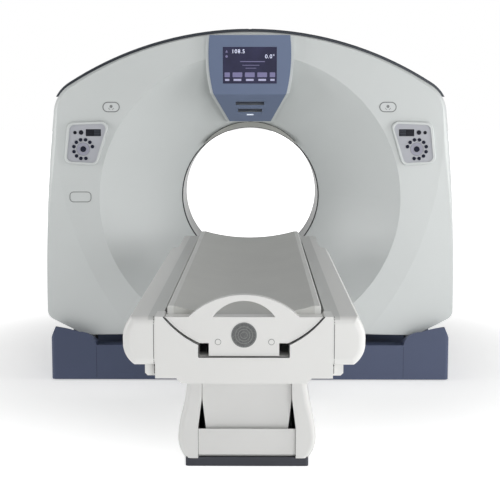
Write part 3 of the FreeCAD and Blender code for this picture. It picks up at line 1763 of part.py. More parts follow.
def foot_cover():
    """The cover over the foot end of the table, cut out for the cradle's block."""
    body = new_body("foot_cover")
    near = d.table_foot - d.foot_cover_depth
    outline = new_sketch(body, "foot_outline", "XZ_Plane", near)
    add_loop(
        outline,
        [
            (-d.foot_lip_half, d.foot_lip_bottom),
            (d.foot_lip_half, d.foot_lip_bottom),
            (d.foot_lip_half + d.frame_wall * 2, d.foot_cover_bottom),
            (d.foot_cover_half, d.foot_cover_bottom),
            (d.foot_cover_half, d.rail_top),
            (-d.foot_cover_half, d.rail_top),
            (-d.foot_cover_half, d.foot_cover_bottom),
            (-d.foot_lip_half - d.frame_wall * 2, d.foot_cover_bottom),
        ],
    )
    pad(body, "foot_pad", outline, d.foot_cover_depth)
    channel = new_sketch(body, "foot_channel", "XZ_Plane", near - 1)
    above = d.rail_top + 1
    bend = mouth_radius()
    add_loop(
        channel,
        [
            (-d.notch_half, d.notch_floor),
            (d.notch_half, d.notch_floor),
            (d.notch_half, d.notch_top, bend),
            (d.mouth_x, d.rail_top),
            (d.mouth_x, above),
            (-d.mouth_x, above),
            (-d.mouth_x, d.rail_top, bend),
            (-d.notch_half, d.notch_top),
        ],
    )
    cut(body, "foot_channel_cut", channel, d.foot_cover_depth + 2, reverse=True)
    shell = new_sketch(body, "foot_hollow", "XZ_Plane", near - 1)
    wall = d.side_wall
    add_loop(
        shell,
        [
            (-d.foot_cover_half + wall, d.foot_cover_bottom + wall),
            (d.foot_cover_half - wall, d.foot_cover_bottom + wall),
            (d.foot_cover_half - wall, d.wing_height - wall * 4),
            (d.notch_half + wall, d.notch_top - wall * 1.5),
            (d.notch_half + wall, d.notch_floor - wall),
            (-d.notch_half - wall, d.notch_floor - wall),
            (-d.notch_half - wall, d.notch_top - wall * 1.5),
            (-d.foot_cover_half + wall, d.wing_height - wall * 4),
        ],
    )
    cut(body, "foot_hollow_cut", shell, d.foot_cover_depth - wall + 1, reverse=True)
    return body


def cradle_end():
    """Distance from the isocentre to the cradle's foot end, where the foot block starts."""
    return d.table_foot - d.block_setback - d.block_length


def cradle():
    """The carbon-fibre couch top: a curved plank with two runners beneath it."""
    body = new_body("cradle")
    section = new_sketch(body, "cradle_section", "XZ_Plane", d.cradle_head)
    half = d.cradle_half_width
    top = d.table_height
    inner = half - d.cradle_bead
    add_loop(
        section,
        [
            (-half, top - d.cradle_edge, sag_radius(half, d.cradle_sag)),
            (half, top - d.cradle_edge),
            (half, top - 4),
            (half - 4, top),
            (inner, top, -sag_radius(inner, d.cradle_sag)),
            (-inner, top),
            (-half + 4, top),
            (-half, top - 4),
        ],
    )
    pad(body, "cradle_plank", section, cradle_end() - d.cradle_head)
    runner_start = d.cradle_head + d.runner_setback
    runner_end = d.table_foot - d.foot_cover_depth - 1
    runners = new_sketch(body, "cradle_runners", "XZ_Plane", runner_start)
    lean = (d.wing_height - d.channel_top) / (d.wing_x - d.channel_half)
    x0 = d.runner_x - d.runner_wide / 2
    x1 = d.runner_x + d.runner_wide / 2
    rise = d.seat_gap * root(lean * lean + 1)
    for side in (1, -1):
        add_loop(
            runners,
            [
                (x0, d.channel_top + (x0 - d.channel_half) * lean + rise),
                (x1, d.channel_top + (x1 - d.channel_half) * lean + rise),
                (x1, top - d.cradle_edge - 2),
                (x0, top - d.cradle_edge - 2),
            ],
            side,
        )
    pad(body, "cradle_runner_pad", runners, runner_end - runner_start)
    return body


def foot_block():
    """The block on the end of the cradle that fills the opening in the foot cover."""
    body = new_body("foot_block")
    gap = d.block_gap
    section = new_sketch(body, "block_section", "XZ_Plane", cradle_end())
    low = d.notch_floor + gap
    shelf = d.notch_top + gap
    top = d.rail_top - d.block_top_gap
    bend = mouth_radius() - gap
    add_loop(
        section,
        [
            (-d.block_half, low),
            (d.block_half, low),
            (d.block_half, shelf),
            (d.notch_half - gap, shelf, bend),
            (d.mouth_x - gap * 1.5, top),
            (-d.mouth_x + gap * 1.5, top, bend),
            (-d.notch_half + gap, shelf),
            (-d.block_half, shelf),
        ],
    )
    pad(body, "block_pad", section, d.block_length)
    return body


def foot_handle():
    """The arched handle that stands on the foot block, flush with its face."""
    body = new_body("foot_handle")
    near = d.table_foot - d.block_setback - d.handle_thickness
    arch = new_sketch(body, "handle_arch", "XZ_Plane", near)
    half, low = d.handle_half, d.handle_base
    add_loop(arch, [(-half, low), (half, low, sag_radius(half, d.handle_rise))])
    pad(body, "handle_pad", arch, d.handle_thickness)
    grip = new_sketch(body, "handle_grip", "XZ_Plane", near - 1)
    half, low = d.grip_half, d.grip_base
    add_loop(grip, [(-half, low), (half, low, sag_radius(half, d.grip_rise))])
    cut(body, "handle_grip_cut", grip, d.handle_thickness + 2, reverse=True)
    return body


# ---------------------------------------------------------------- assembly

HANDS = (("left", 1), ("right", -1))

node("front_cover", front_cover())
node("rear_cover", rear_cover())
node("top_cover", top_cover())
node("bore_liner", bore_liner())
node("laser_window", light_window())
node("display_bezel", display_panel())
node("display_screen", display_screen())
for hand, side in HANDS:
    control_panel(hand, side)

node("tilt_frame", tilt_frame())
node("rotor_drum", rotor_drum())
node("xray_tube", xray_tube())
node("detector_array", detector_array())
node("hv_generator", hv_generator())
node("slip_ring", slip_ring())

for hand, side in (("left", -1), ("right", 1)):
    node(f"stanchion_{hand}", stanchion(hand, side))
    node(f"base_cover_{hand}", base_cover_side(hand, side))
    node(f"pedestal_side_{hand}", pedestal_side(hand, side))
    node(f"table_side_{hand}", table_side(hand, side))
node("base_frame", base_frame())
node("base_cover_centre", base_cover_centre())

node("table_plinth", table_plinth())
node("pedestal_end_panels", pedestal_end_panels())
node("column_base", column_base())
node("column_stage_2", column_stage_2())
node("column_stage_3", column_stage_3())
node("table_frame", table_frame())
node("foot_cover", foot_cover())
node("cradle", cradle())
node("foot_block", combine("Part::MultiFuse", "foot_block_whole", foot_block(), foot_handle()))

# ---------------------------------------------------------------- checks and files

DOC.recompute()
for item in DOC.Objects:
    if "Invalid" in item.State or "Error" in item.State:
        raise ValueError(f"{item.Name} ({item.Label}) failed: {item.State}")
for name, piece in NODES.items():
    if piece.Shape.isNull() or not piece.Shape.isValid():
        raise ValueError(f"{name} has no valid shape")

os.makedirs("parts", exist_ok=True)
for name, piece in NODES.items():
    piece.Shape.exportStep(f"parts/{name}.step")
    print(name, "solids", len(piece.Shape.Solids), "volume", round(piece.Shape.Volume / 1000), "cm3")
print(len(NODES), "nodes")
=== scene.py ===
import math

import bmesh
import bpy
from mathutils import Euler, Matrix, Vector


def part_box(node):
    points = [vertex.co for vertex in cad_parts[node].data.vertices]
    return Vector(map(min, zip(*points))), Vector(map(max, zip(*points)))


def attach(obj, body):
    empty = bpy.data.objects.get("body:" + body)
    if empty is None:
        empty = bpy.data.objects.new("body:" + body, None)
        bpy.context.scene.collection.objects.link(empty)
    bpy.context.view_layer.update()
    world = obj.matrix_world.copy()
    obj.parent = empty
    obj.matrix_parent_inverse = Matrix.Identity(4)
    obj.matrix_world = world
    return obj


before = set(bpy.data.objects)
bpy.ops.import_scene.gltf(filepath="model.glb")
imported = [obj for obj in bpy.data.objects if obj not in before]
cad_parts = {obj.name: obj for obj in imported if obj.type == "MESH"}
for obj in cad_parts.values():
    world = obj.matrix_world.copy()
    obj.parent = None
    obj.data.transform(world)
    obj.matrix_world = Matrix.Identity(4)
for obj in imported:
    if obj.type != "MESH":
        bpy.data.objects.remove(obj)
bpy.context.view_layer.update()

# The scanner stands on the floor with the table towards the camera. Everything is in metres.
# ISO is the middle of the bore.
ISO = Vector((0.0, 0.0, 0.9))

# ---------------------------------------------------------------- materials


def node_of(tree, kind, **values):
    """A shader node with its inputs set by name."""
    node = tree.nodes.new(kind)
    for name, value in values.items():
        node.inputs[name.replace("_", " ")].default_value = value
    return node


def finish(name, color, roughness, mottle=0.03, mottle_scale=3.0, grain=0.0, grain_scale=900.0,
           metallic=0.0, coat=0.0, specular=0.5, rough_range=0.06):
    """A procedural surface: slight colour drift, uneven gloss and a fine moulded or painted grain."""
    material = bpy.data.materials.new(name)
    material.use_nodes = True
    tree = material.node_tree
    shader = tree.nodes["Principled BSDF"]
    shader.inputs["Metallic"].default_value = metallic
    shader.inputs["Coat Weight"].default_value = coat
    shader.inputs["Coat Roughness"].default_value = 0.15
    shader.inputs["Specular IOR Level"].default_value = specular
    place = tree.nodes.new("ShaderNodeTexCoord")

    drift = node_of(tree, "ShaderNodeTexNoise", Scale=mottle_scale, Detail=4.0, Roughness=0.55)
    tree.links.new(place.outputs["Object"], drift.inputs["Vector"])
    ramp = tree.nodes.new("ShaderNodeValToRGB")
    ramp.color_ramp.elements[0].position = 0.3
    ramp.color_ramp.elements[1].position = 0.7
    ramp.color_ramp.elements[0].color = [c * (1.0 - mottle) for c in color] + [1.0]
    ramp.color_ramp.elements[1].color = [min(c * (1.0 + mottle), 1.0) for c in color] + [1.0]
    tree.links.new(drift.outputs["Fac"], ramp.inputs["Fac"])
    tree.links.new(ramp.outputs["Color"], shader.inputs["Base Color"])

    spread = node_of(tree, "ShaderNodeMapRange")
    spread.inputs["To Min"].default_value = max(roughness - rough_range, 0.02)
    spread.inputs["To Max"].default_value = roughness + rough_range
    tree.links.new(drift.outputs["Fac"], spread.inputs["Value"])
    tree.links.new(spread.outputs["Result"], shader.inputs["Roughness"])

    if grain:
        fine = node_of(tree, "ShaderNodeTexNoise", Scale=grain_scale, Detail=3.0)
        tree.links.new(place.outputs["Object"], fine.inputs["Vector"])
        bump = node_of(tree, "ShaderNodeBump", Strength=grain, Distance=0.0006)
        tree.links.new(fine.outputs["Fac"], bump.inputs["Height"])
        tree.links.new(bump.outputs["Normal"], shader.inputs["Normal"])
    return material


def glowing(name, color, strength):
    """A surface that gives light of its own."""
    material = finish(name, color, 0.4)
    shader = material.node_tree.nodes["Principled BSDF"]
    shader.inputs["Emission Color"].default_value = color + [1.0]
    shader.inputs["Emission Strength"].default_value = strength
    return material


def brushed(name, color, roughness, direction):
    """Metal with fine lines along one axis."""
    material = finish(name, color, roughness, metallic=1.0, rough_range=0.08)
    tree = material.node_tree
    place = tree.nodes["Texture Coordinate"]
    stretch = tree.nodes.new("ShaderNodeMapping")
    stretch.inputs["Scale"].default_value = [8.0 if axis == direction else 900.0 for axis in "XYZ"]
    lines = node_of(tree, "ShaderNodeTexNoise", Scale=1.0, Detail=4.0)
    bump = node_of(tree, "ShaderNodeBump", Strength=0.12, Distance=0.0005)
    tree.links.new(place.outputs["Object"], stretch.inputs["Vector"])
    tree.links.new(stretch.outputs["Vector"], lines.inputs["Vector"])
    tree.links.new(lines.outputs["Fac"], bump.inputs["Height"])
    tree.links.new(bump.outputs["Normal"], tree.nodes["Principled BSDF"].inputs["Normal"])
    return material


WHITE = finish("gantry_white", [0.575, 0.60, 0.595], 0.38, mottle=0.012, grain=0.12)
TABLE_WHITE = finish("table_white", [0.74, 0.74, 0.725], 0.34, mottle=0.012, grain=0.10)
# The side covers' white: a copy of the table white that carries painted shade on the flat top strip of its
# rails.
TABLE_SIDE_RAIL_SHADE = finish("table_side_white_rail_shade", [0.74, 0.74, 0.725], 0.34, mottle=0.012, grain=0.10)
NAVY = finish("base_navy", [0.050, 0.066, 0.125], 0.42, mottle=0.06, grain=0.3, grain_scale=600.0)
BAND = finish("band_slate", [0.040, 0.048, 0.062], 0.35, mottle=0.05, grain=0.2)
BLUE = finish("display_blue", [0.125, 0.165, 0.265], 0.36, mottle=0.04, grain=0.12)
GLASS = finish("screen_glass", [0.028, 0.028, 0.07], 0.12, mottle=0.25, mottle_scale=9.0, coat=0.6)
PLATE = finish("control_plate", [0.41, 0.42, 0.455], 0.5, mottle=0.03, grain=0.15)
KEY = finish("key_rubber", [0.010, 0.012, 0.026], 0.6, mottle=0.08, grain=0.2, specular=0.15)
KEY_GREY = finish("key_grey", [0.012, 0.013, 0.020], 0.6, mottle=0.08, specular=0.15)
LINER = finish("bore_film", [0.70, 0.705, 0.70], 0.3, mottle=0.02)
LENS = finish("window_lens", [0.36, 0.365, 0.34], 0.22, mottle=0.04, coat=0.5)
# The cradle's taupe, which also carries a painted highlight along its curved outer edges.
CRADLE_WITH_EDGE_HIGHLIGHT = finish("cradle_taupe", [0.56, 0.565, 0.54], 0.45, mottle=0.035, mottle_scale=6.0, grain=0.35,
                grain_scale=420.0)
SLATE = finish("plinth_slate", [0.034, 0.037, 0.050], 0.4, mottle=0.06, grain=0.25)
FRAME = finish("frame_coat", [0.16, 0.165, 0.175], 0.5, mottle=0.05, grain=0.3)
DARK = finish("instrument_enamel", [0.06, 0.062, 0.07], 0.45, mottle=0.05)
SEAM = finish("seam_shadow", [0.035, 0.037, 0.04], 0.7, mottle=0.1)
SOFT_SEAM = finish("soft_seam", [0.20, 0.21, 0.21], 0.6, mottle=0.05)
STEEL = brushed("column_steel", [0.55, 0.56, 0.58], 0.3, "Z")
ALUMINIUM = brushed("machined_aluminium", [0.72, 0.73, 0.74], 0.32, "X")
BRASS = brushed("slip_brass", [0.75, 0.56, 0.27], 0.28, "X")
LIT = glowing("readout_white", [0.62, 0.65, 0.82], 0.55)
LIT_SOFT = glowing("readout_violet", [0.17, 0.16, 0.30], 0.16)
LIT_KEY = glowing("readout_key", [0.36, 0.36, 0.52], 0.28)
# A painted highlight: the small white label under the outlet slots glows, though it is no lamp.
LABEL_PAINTED_GLOW = glowing("label_white_painted_glow", [0.70, 0.76, 0.86], 0.35)
BLACK = finish("window_black", [0.006, 0.007, 0.011], 0.45, mottle=0.2, specular=0.15)
CELL = finish("window_cell", [0.040, 0.045, 0.058], 0.45, mottle=0.1, specular=0.2)
CELL_DARK = finish("window_cell_dark", [0.012, 0.013, 0.020], 0.45, mottle=0.1, specular=0.2)
# Dark plates of painted shade inside the outlet slots, and the dark joints between the base covers.
SLOT_SHADE_AND_JOINT_DARK = finish("slot_shade_and_joint_dark", [0.012, 0.018, 0.038], 0.6, mottle=0.1)
PILL = finish("pill_field", [0.60, 0.62, 0.62], 0.4, mottle=0.02)
PLATE_RING = finish("control_ring", [0.30, 0.30, 0.37], 0.5, mottle=0.03, grain=0.1)
MEDALLION = finish("medallion_grey", [0.12, 0.125, 0.125], 0.5, mottle=0.35, mottle_scale=260.0, grain=0.5,
                   grain_scale=900.0)
MEDALLION_LINE = finish("medallion_line", [0.24, 0.245, 0.24], 0.45, mottle=0.1)

NODE_FINISH = {
    "front_cover": WHITE,
    "rear_cover": WHITE,
    "top_cover": BAND,
    "bore_liner": LINER,
    "laser_window": LENS,
    "display_bezel": BLUE,
    "display_screen": GLASS,
    "control_surround_left": WHITE,
    "control_surround_right": WHITE,
    "control_plate_left": PLATE,
    "control_plate_right": PLATE,
    "tilt_frame": FRAME,
    "stanchion_left": FRAME,
    "stanchion_right": FRAME,
    "base_frame": FRAME,
    "rotor_drum": ALUMINIUM,
    "xray_tube": ALUMINIUM,
    "detector_array": DARK,
    "hv_generator": DARK,
    "slip_ring": BRASS,
    "base_cover_left": NAVY,
    "base_cover_right": NAVY,
    "base_cover_centre": NAVY,
    "table_side_left": TABLE_SIDE_RAIL_SHADE,
    "table_side_right": TABLE_SIDE_RAIL_SHADE,
    "table_plinth": SLATE,
    "column_base": STEEL,
    "column_stage_3": STEEL,
    "table_frame": STEEL,
    "cradle": CRADLE_WITH_EDGE_HIGHLIGHT,
}


def node_finish(name):
    """The finish of a CAD node: its own, the keys' or the table's."""
    if name in NODE_FINISH:
        return NODE_FINISH[name]
    if name.endswith("round_key"):
        return KEY_GREY
    if "key" in name:
        return KEY
    return TABLE_WHITE


def dress_nodes():
    """Gives every CAD node its finish."""
    for name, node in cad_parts.items():
        node.data.materials.clear()
        node.data.materials.append(node_finish(name))


# ---------------------------------------------------------------- mesh helpers


def piece(name, mesh, material, body):
    """Puts a finished mesh in the scene, riding on a body."""
    obj = bpy.data.objects.new(name, mesh)
    bpy.context.scene.collection.objects.link(obj)
    mesh.materials.append(material)
    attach(obj, body)
    return obj


def plate_mesh(name, outline, depth, bevel=0.0, place=(0, 0, 0)):
    """A thin plate from an outline of (x, z) points, standing forward from its place by depth."""
    bm = bmesh.new()
    back = [bm.verts.new((x, 0.0, z)) for x, z in outline]
    face = bm.faces.new(back)
    grown = bmesh.ops.extrude_face_region(bm, geom=[face])
    front = [v for v in grown["geom"] if isinstance(v, bmesh.types.BMVert)]
    bmesh.ops.translate(bm, verts=front, vec=(0, -depth, 0))
    bmesh.ops.recalc_face_normals(bm, faces=bm.faces)
    if bevel:
        rim = [e for e in bm.edges if all(v in front for v in e.verts)]
        bmesh.ops.bevel(bm, geom=rim, offset=bevel, segments=3, profile=0.5, affect="EDGES")
    bm.transform(Matrix.Translation(place))
    mesh = bpy.data.meshes.new(name)
    bm.to_mesh(mesh)
    bm.free()
    return mesh


def rounded(points, radius, steps=6):
    """An outline with every corner rounded."""
    result = []
    count = len(points)
    for i, corner in enumerate(points):
        here = Vector(corner)
        before = (Vector(points[i - 1]) - here).normalized()
        after = (Vector(points[(i + 1) % count]) - here).normalized()
        angle = before.angle(after)
        reach = radius / math.tan(angle / 2)
        start = here + before * reach
        end = here + after * reach
        centre = here + (before + after).normalized() * (radius / math.sin(angle / 2))
        for step in range(steps + 1):
            way = (start - centre).lerp(end - centre, step / steps)
            result.append(centre + way.normalized() * radius)
    return result


def pill_outline(width, height, steps=10):
    """A slot shape about its own middle."""
    radius = height / 2
    points = []
    for side, begin in ((1, -90), (-1, 90)):
        for step in range(steps + 1):
            angle = math.radians(begin + 180 * step / steps)
            points.append((side * (width / 2 - radius) + radius * math.cos(angle), radius * math.sin(angle)))
    return points


def circle_outline(radius, steps=48):
    """A circle about its own middle."""
    return [
        (radius * math.cos(2 * math.pi * i / steps), radius * math.sin(2 * math.pi * i / steps))
        for i in range(steps)
    ]


def rectangle(width, height, x=0.0, z=0.0):
    """The corners of an upright rectangle about (x, z)."""
    return [(x - width / 2, z - height / 2), (x + width / 2, z - height / 2),
            (x + width / 2, z + height / 2), (x - width / 2, z + height / 2)]


def tube_mesh(name, points, radius, closed=True, sides=8):
    """A thin round bead along a line of points."""
    bm = bmesh.new()
    rings = []
    count = len(points)
    for i, point in enumerate(points):
        here = Vector(point)
        before = Vector(points[i - 1]) if closed or i else here
        after = Vector(points[(i + 1) % count]) if closed or i < count - 1 else here
        forward = (after - before).normalized()
        if abs(forward.y) > 0.95:
            side = forward.orthogonal().normalized()
        else:
            side = forward.cross(Vector((0, 1, 0)))
        side.normalize()
        up = forward.cross(side).normalized()
        ring = []
        for step in range(sides):
            angle = 2 * math.pi * step / sides
            ring.append(bm.verts.new(here + (side * math.cos(angle) + up * math.sin(angle)) * radius))
        rings.append(ring)
    spans = count if closed else count - 1
    for i in range(spans):
        first, second = rings[i], rings[(i + 1) % count]
        for step in range(sides):
            bm.faces.new(
                (first[step], first[(step + 1) % sides], second[(step + 1) % sides], second[step])
            )
    if not closed:
        bm.faces.new(rings[0])
        bm.faces.new(rings[-1])
    bmesh.ops.recalc_face_normals(bm, faces=bm.faces)
    for face in bm.faces:
        face.smooth = True
    mesh = bpy.data.meshes.new(name)
    bm.to_mesh(mesh)
    bm.free()
    return mesh


def text_mesh(name, words, height, place, depth=0.0006):
    """Flat figures facing the table, with their left end at place."""
    curve = bpy.data.curves.new(name, "FONT")
    curve.body = words
    curve.size = height * 1.4
    curve.extrude = depth / 2
    curve.space_character = 1.12
    curve.resolution_u = 4
    obj = bpy.data.objects.new(name + "_curve", curve)
    bpy.context.scene.collection.objects.link(obj)
    graph = bpy.context.evaluated_depsgraph_get()
    mesh = bpy.data.meshes.new_from_object(obj.evaluated_get(graph))
    bpy.data.objects.remove(obj)
    mesh.name = name
    mesh.materials.clear()
    mesh.transform(Matrix.Translation(place) @ Matrix.Rotation(math.pi / 2, 4, "X"))
    return mesh


def front_of(names, x, z):
    """The point of some CAD nodes that the table side sees first at (x, z), and its normal."""
    best = None
    for name in names:
        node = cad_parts[name]
        back = node.matrix_world.inverted()
        turned = back.to_3x3()
        hit, spot, normal, _ = node.ray_cast(back @ Vector((x, -4.0, z)), turned @ Vector((0, 1, 0)))
        if hit:
            spot = node.matrix_world @ spot
            if best is None or spot.y < best[0].y:
                best = (spot, (node.matrix_world.to_3x3() @ normal).normalized())
    return best


def on_front(names, x, z):
    """A placement on the surface, with its own -Y along the surface's normal."""
    spot, normal = front_of(names, x, z)
    turn = Vector((0, -1, 0)).rotation_difference(normal)
    return Matrix.Translation(spot) @ turn.to_matrix().to_4x4()


def seated(name, mesh, matrix, material, body):
    """A piece whose mesh is drawn about its own middle, laid on a surface."""
    mesh.transform(matrix)
    return piece(name, mesh, material, body)


def between(start, end, steps):
    """Points at equal steps along a straight line."""
    return [(start[0] + (end[0] - start[0]) * i / steps, start[1] + (end[1] - start[1]) * i / steps)
            for i in range(steps + 1)]


# ---------------------------------------------------------------- display

SCREEN_LIFT = 0.0004
READOUT_SIZE = 0.019
READOUT_DEPTH = 0.0005
SOFT_KEY_CORNER = 0.003


def display_readout():
    """Generic figures on the screen: a height, an angle, status bars and two rows of soft keys."""
    low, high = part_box("display_screen")
    front = low.y - SCREEN_LIFT
    width = high.x - low.x
    height = high.z - low.z

    def at(u, v):
        """A place on the screen, from its top left corner, in parts of its width and height."""
        return Vector((low.x + width * u, front, high.z - height * v))

    def figures(name, words, place):
        piece(name, text_mesh(name, words, READOUT_SIZE, place), LIT, "gantry")

    def patch(name, mesh_name, outline, place, material=LIT_SOFT):
        mesh = plate_mesh(mesh_name, outline, READOUT_DEPTH, place=place)
        piece(name, mesh, material, "gantry")

    figures("readout_height", "108.5", at(0.16, 0.17))
    figures("readout_angle", "0.0°", at(0.78, 0.31))
    bars = [(0.32, 0.40, 0.46, 0.022), (0.36, 0.50, 0.32, 0.016), (0.42, 0.58, 0.20, 0.014)]
    for number, (u, v, wide, tall) in enumerate(bars):
        patch(f"readout_bar_{number}", "bar", pill_outline(width * wide, height * tall), at(u + wide / 2, v))
    marker = [(-0.006, -0.006), (0.006, -0.006), (0.0, 0.007)]
    patch("readout_marker", "marker", marker, at(0.07, 0.12))
    patch("readout_lamp", "lamp", circle_outline(0.006), at(0.07, 0.26))

    # The lower row is drawn narrower, flatter and brighter than its share of the screen.
    key_columns = [(0.08, 0.10), (0.27, 0.18), (0.50, 0.18), (0.73, 0.18), (0.92, 0.10)]
    key_rows = [(0.76, 0.13, 1.0, 1.0, LIT_SOFT), (0.90, 0.10, 0.8, 0.55, LIT_KEY)]
    for number, (u, wide) in enumerate(key_columns):
        for row, (v, tall, across, upright, material) in enumerate(key_rows):
            outline = rounded(rectangle(width * wide, height * tall), SOFT_KEY_CORNER)
            outline = [(x * across, z * upright) for x, z in outline]
            patch(f"soft_key_{number}_{row}", "soft_key", outline, at(u, v), material)


# ---------------------------------------------------------------- fine pieces on the gantry


def ring_mesh(name, outline, width, depth):
    """A flat band that follows an outline, standing forward from its place."""
    count = len(outline)
    bm = bmesh.new()
    rows = []
    for scale_out in (width / 2, -width / 2):
        for level in (0.0, -depth):
            row = []
            for i in range(count):
                before, after = Vector(outline[i - 1]), Vector(outline[(i + 1) % count])
                along = (after - before).normalized()
                side = Vector((along.y, -along.x)) * scale_out
                row.append(bm.verts.new((outline[i][0] + side.x, level, outline[i][1] + side.y)))
            rows.append(row)
    order = [rows[0], rows[1], rows[3], rows[2]]
    for k in range(4):
        first, second = order[k], order[(k + 1) % 4]
        for i in range(count):
            j = (i + 1) % count
            bm.faces.new((first[i], first[j], second[j], second[i]))
    bmesh.ops.recalc_face_normals(bm, faces=bm.faces)
    mesh = bpy.data.meshes.new(name)
    bm.to_mesh(mesh)
    bm.free()
    return mesh


def arc(radius, start, end, steps=12, middle=(0.0, 0.0)):
    """Points along an arc between two angles in degrees."""
    return [
        (middle[0] + radius * math.cos(math.radians(start + (end - start) * i / steps)),
         middle[1] + radius * math.sin(math.radians(start + (end - start) * i / steps)))
        for i in range(steps + 1)
    ]


# Places on the front cover are (x, height).
PILL_PLACES = {"left": (-0.6785, 1.3545), "right": (0.674, 1.3545)}
PILL_FIELD = (0.074, 0.040)
PILL_RIM = (0.080, 0.046)
PILL_WAVES = ((200, 250), (290, 340))
OVAL_PLACE = (-0.835, 0.9145)
OVAL_SIZE = (0.104, 0.049)

# The control plates mirror each other. Places on them are measured from the plate's middle.
CONTROL_X = 0.811
CONTROL_HEIGHT = 1.168
CONTROL_LAMP = (-0.044, 0.0625)
CONTROL_WINDOW = (0.046, 0.062)
CONTROL_DISC = (-0.005, -0.018)
CONTROL_WINDOW_SIZE = (0.074, 0.034)
CELL_SIZE = (0.030, 0.0052)
CELL_COLUMNS = (-0.0175, 0.0175)
CELL_ROWS = 4
LOWEST_CELL = -0.0115
CELL_PITCH = 0.0077

# Each outlet slot has its rise above the middle of the bore, half its width, and its height.
OUTLET_SLOTS = ((0.473, 0.0698, 0.0156), (0.438, 0.0598, 0.0156))
SLOT_PROBE = 0.0145
SLOT_SINK = 0.0022
LABEL_RISE = 0.417
LABEL_SIZE = (0.034, 0.0124)

BORE_EDGE_RADIUS = 0.3524
BORE_EDGE_Y = -0.1615
GASKET_RADIUS = 0.0030

WINDOW_RISE = 0.0712
WINDOW_RADIUS = 0.3096
WINDOW_ANGLES = (42, 138)


def gantry_badges():
    """Two small sensor pills on the face, and the plain oval at its left."""

    def badge(name, mesh, place, material=SOFT_SEAM):
        seated(name, mesh, place, material, "gantry")

    for side, (x, z) in PILL_PLACES.items():
        place = on_front(["front_cover"], x, z)
        field = plate_mesh("field", pill_outline(*PILL_FIELD), 0.0005, 0.0002)
        badge(f"pill_field_{side}", field, place, PILL)
        badge(f"pill_rim_{side}", ring_mesh("rim", pill_outline(*PILL_RIM), 0.0045, 0.0011), place)
        dot = plate_mesh("dot", circle_outline(0.0075, 24), 0.0008, 0.0002)
        dot.transform(Matrix.Translation((0.0, 0.0, 0.003)))
        badge(f"pill_dot_{side}", dot, place)
        for number, (low, high) in enumerate(PILL_WAVES):
            outline = arc(0.0142, low, high, 10) + arc(0.0126, high, low, 10)
            badge(f"pill_wave_{number}_{side}", ring_mesh("wave", outline, 0.0012, 0.0008), place)
    place = on_front(["front_cover"], *OVAL_PLACE)
    badge("oval_rim", ring_mesh("rim", rounded(rectangle(*OVAL_SIZE), 0.018), 0.0034, 0.0010), place)


def control_details():
    """Each control plate's lamp, small display window and the disc round the centre key."""
    for side, sign in (("left", 1), ("right", -1)):
        middle = Vector((-CONTROL_X * sign, 0.0, CONTROL_HEIGHT))
        window_x, window_z = CONTROL_WINDOW
        probe = front_of([f"control_plate_{side}"], middle.x + sign * window_x, middle.z + window_z)
        front = probe[0].y

        def at(x, z):
            return Matrix.Translation((middle.x + sign * x, front, middle.z + z))

        seated(f"control_lamp_{side}", plate_mesh("lamp", circle_outline(0.0085, 28), 0.0012, 0.0005),
               at(*CONTROL_LAMP), BLACK, "gantry")
        place = at(*CONTROL_WINDOW)
        window = rounded(rectangle(*CONTROL_WINDOW_SIZE), 0.0025)
        seated(f"control_window_{side}", plate_mesh("window", window, 0.0010, 0.0004), place, BLACK,
               "gantry")
        # The brighter column of cells is the second at the left plate, the first at the right.
        bright = 1 if sign > 0 else 0
        for row in range(CELL_ROWS):
            z = LOWEST_CELL + row * CELL_PITCH
            for half, x in enumerate(CELL_COLUMNS):
                cell = plate_mesh("cell", rectangle(*CELL_SIZE, x, z), 0.0013)
                seated(f"control_cell_{side}_{row}_{half}", cell, place,
                       CELL if half == bright else CELL_DARK, "gantry")
        seated(f"control_disc_{side}", ring_mesh("disc", circle_outline(0.0235, 48), 0.014, 0.0006),
               at(*CONTROL_DISC), PLATE_RING, "gantry")
        seated(f"control_disc_edge_{side}", ring_mesh("edge", circle_outline(0.0315, 48), 0.0016, 0.0009),
               at(*CONTROL_DISC), SOFT_SEAM, "gantry")


def display_details():
    """Painted shade inside the two outlet slots, as a dark plate sunk in each, and the small white label
    under them, which glows as a painted highlight.
    """
    bezel = ["display_bezel"]
    for number, (rise, half, high) in enumerate(OUTLET_SLOTS):
        above, facing = front_of(bezel, 0.0, ISO.z + rise + SLOT_PROBE)
        below, _ = front_of(bezel, 0.0, ISO.z + rise - SLOT_PROBE)
        outline = rounded(rectangle(2 * half, high), 0.003)
        turn = Vector((0, -1, 0)).rotation_difference(facing).to_matrix().to_4x4()
        place = Matrix.Translation((above + below) / 2 - facing * SLOT_SINK) @ turn
        # Painted shade: a dark plate sunk in the slot, where the white cover behind would otherwise show
        # through.
        seated(f"slot_shadow_{number}", plate_mesh("slot", outline, 0.0006), place, SLOT_SHADE_AND_JOINT_DARK, "gantry")
    # The label glows as a painted highlight.
    label = plate_mesh("label", rounded(rectangle(*LABEL_SIZE), 0.002), 0.0008, 0.0003)
    seated("display_label", label, on_front(bezel, 0.0, ISO.z + LABEL_RISE), LABEL_PAINTED_GLOW, "gantry")


def bore_lines():
    """The dark gasket round the bore, near its narrowest."""
    ring = [(x, BORE_EDGE_Y, ISO.z + z) for x, z in circle_outline(BORE_EDGE_RADIUS, 120)]
    piece("bore_gasket", tube_mesh("bore_gasket", ring, GASKET_RADIUS), SEAM, "gantry")


def window_line():
    """The dark joint round the top of the laser window, on the slope of the bore."""
    line = arc(WINDOW_RADIUS, *WINDOW_ANGLES, 60, (0.0, ISO.z + WINDOW_RISE))
    found = [front_of(["front_cover", "laser_window"], x, z) for x, z in line]
    path = [hit[0] for hit in found if hit]
    piece("window_joint", tube_mesh("window_joint", path, 0.0016, closed=False), SEAM, "gantry")


# ---------------------------------------------------------------- fine pieces on the table

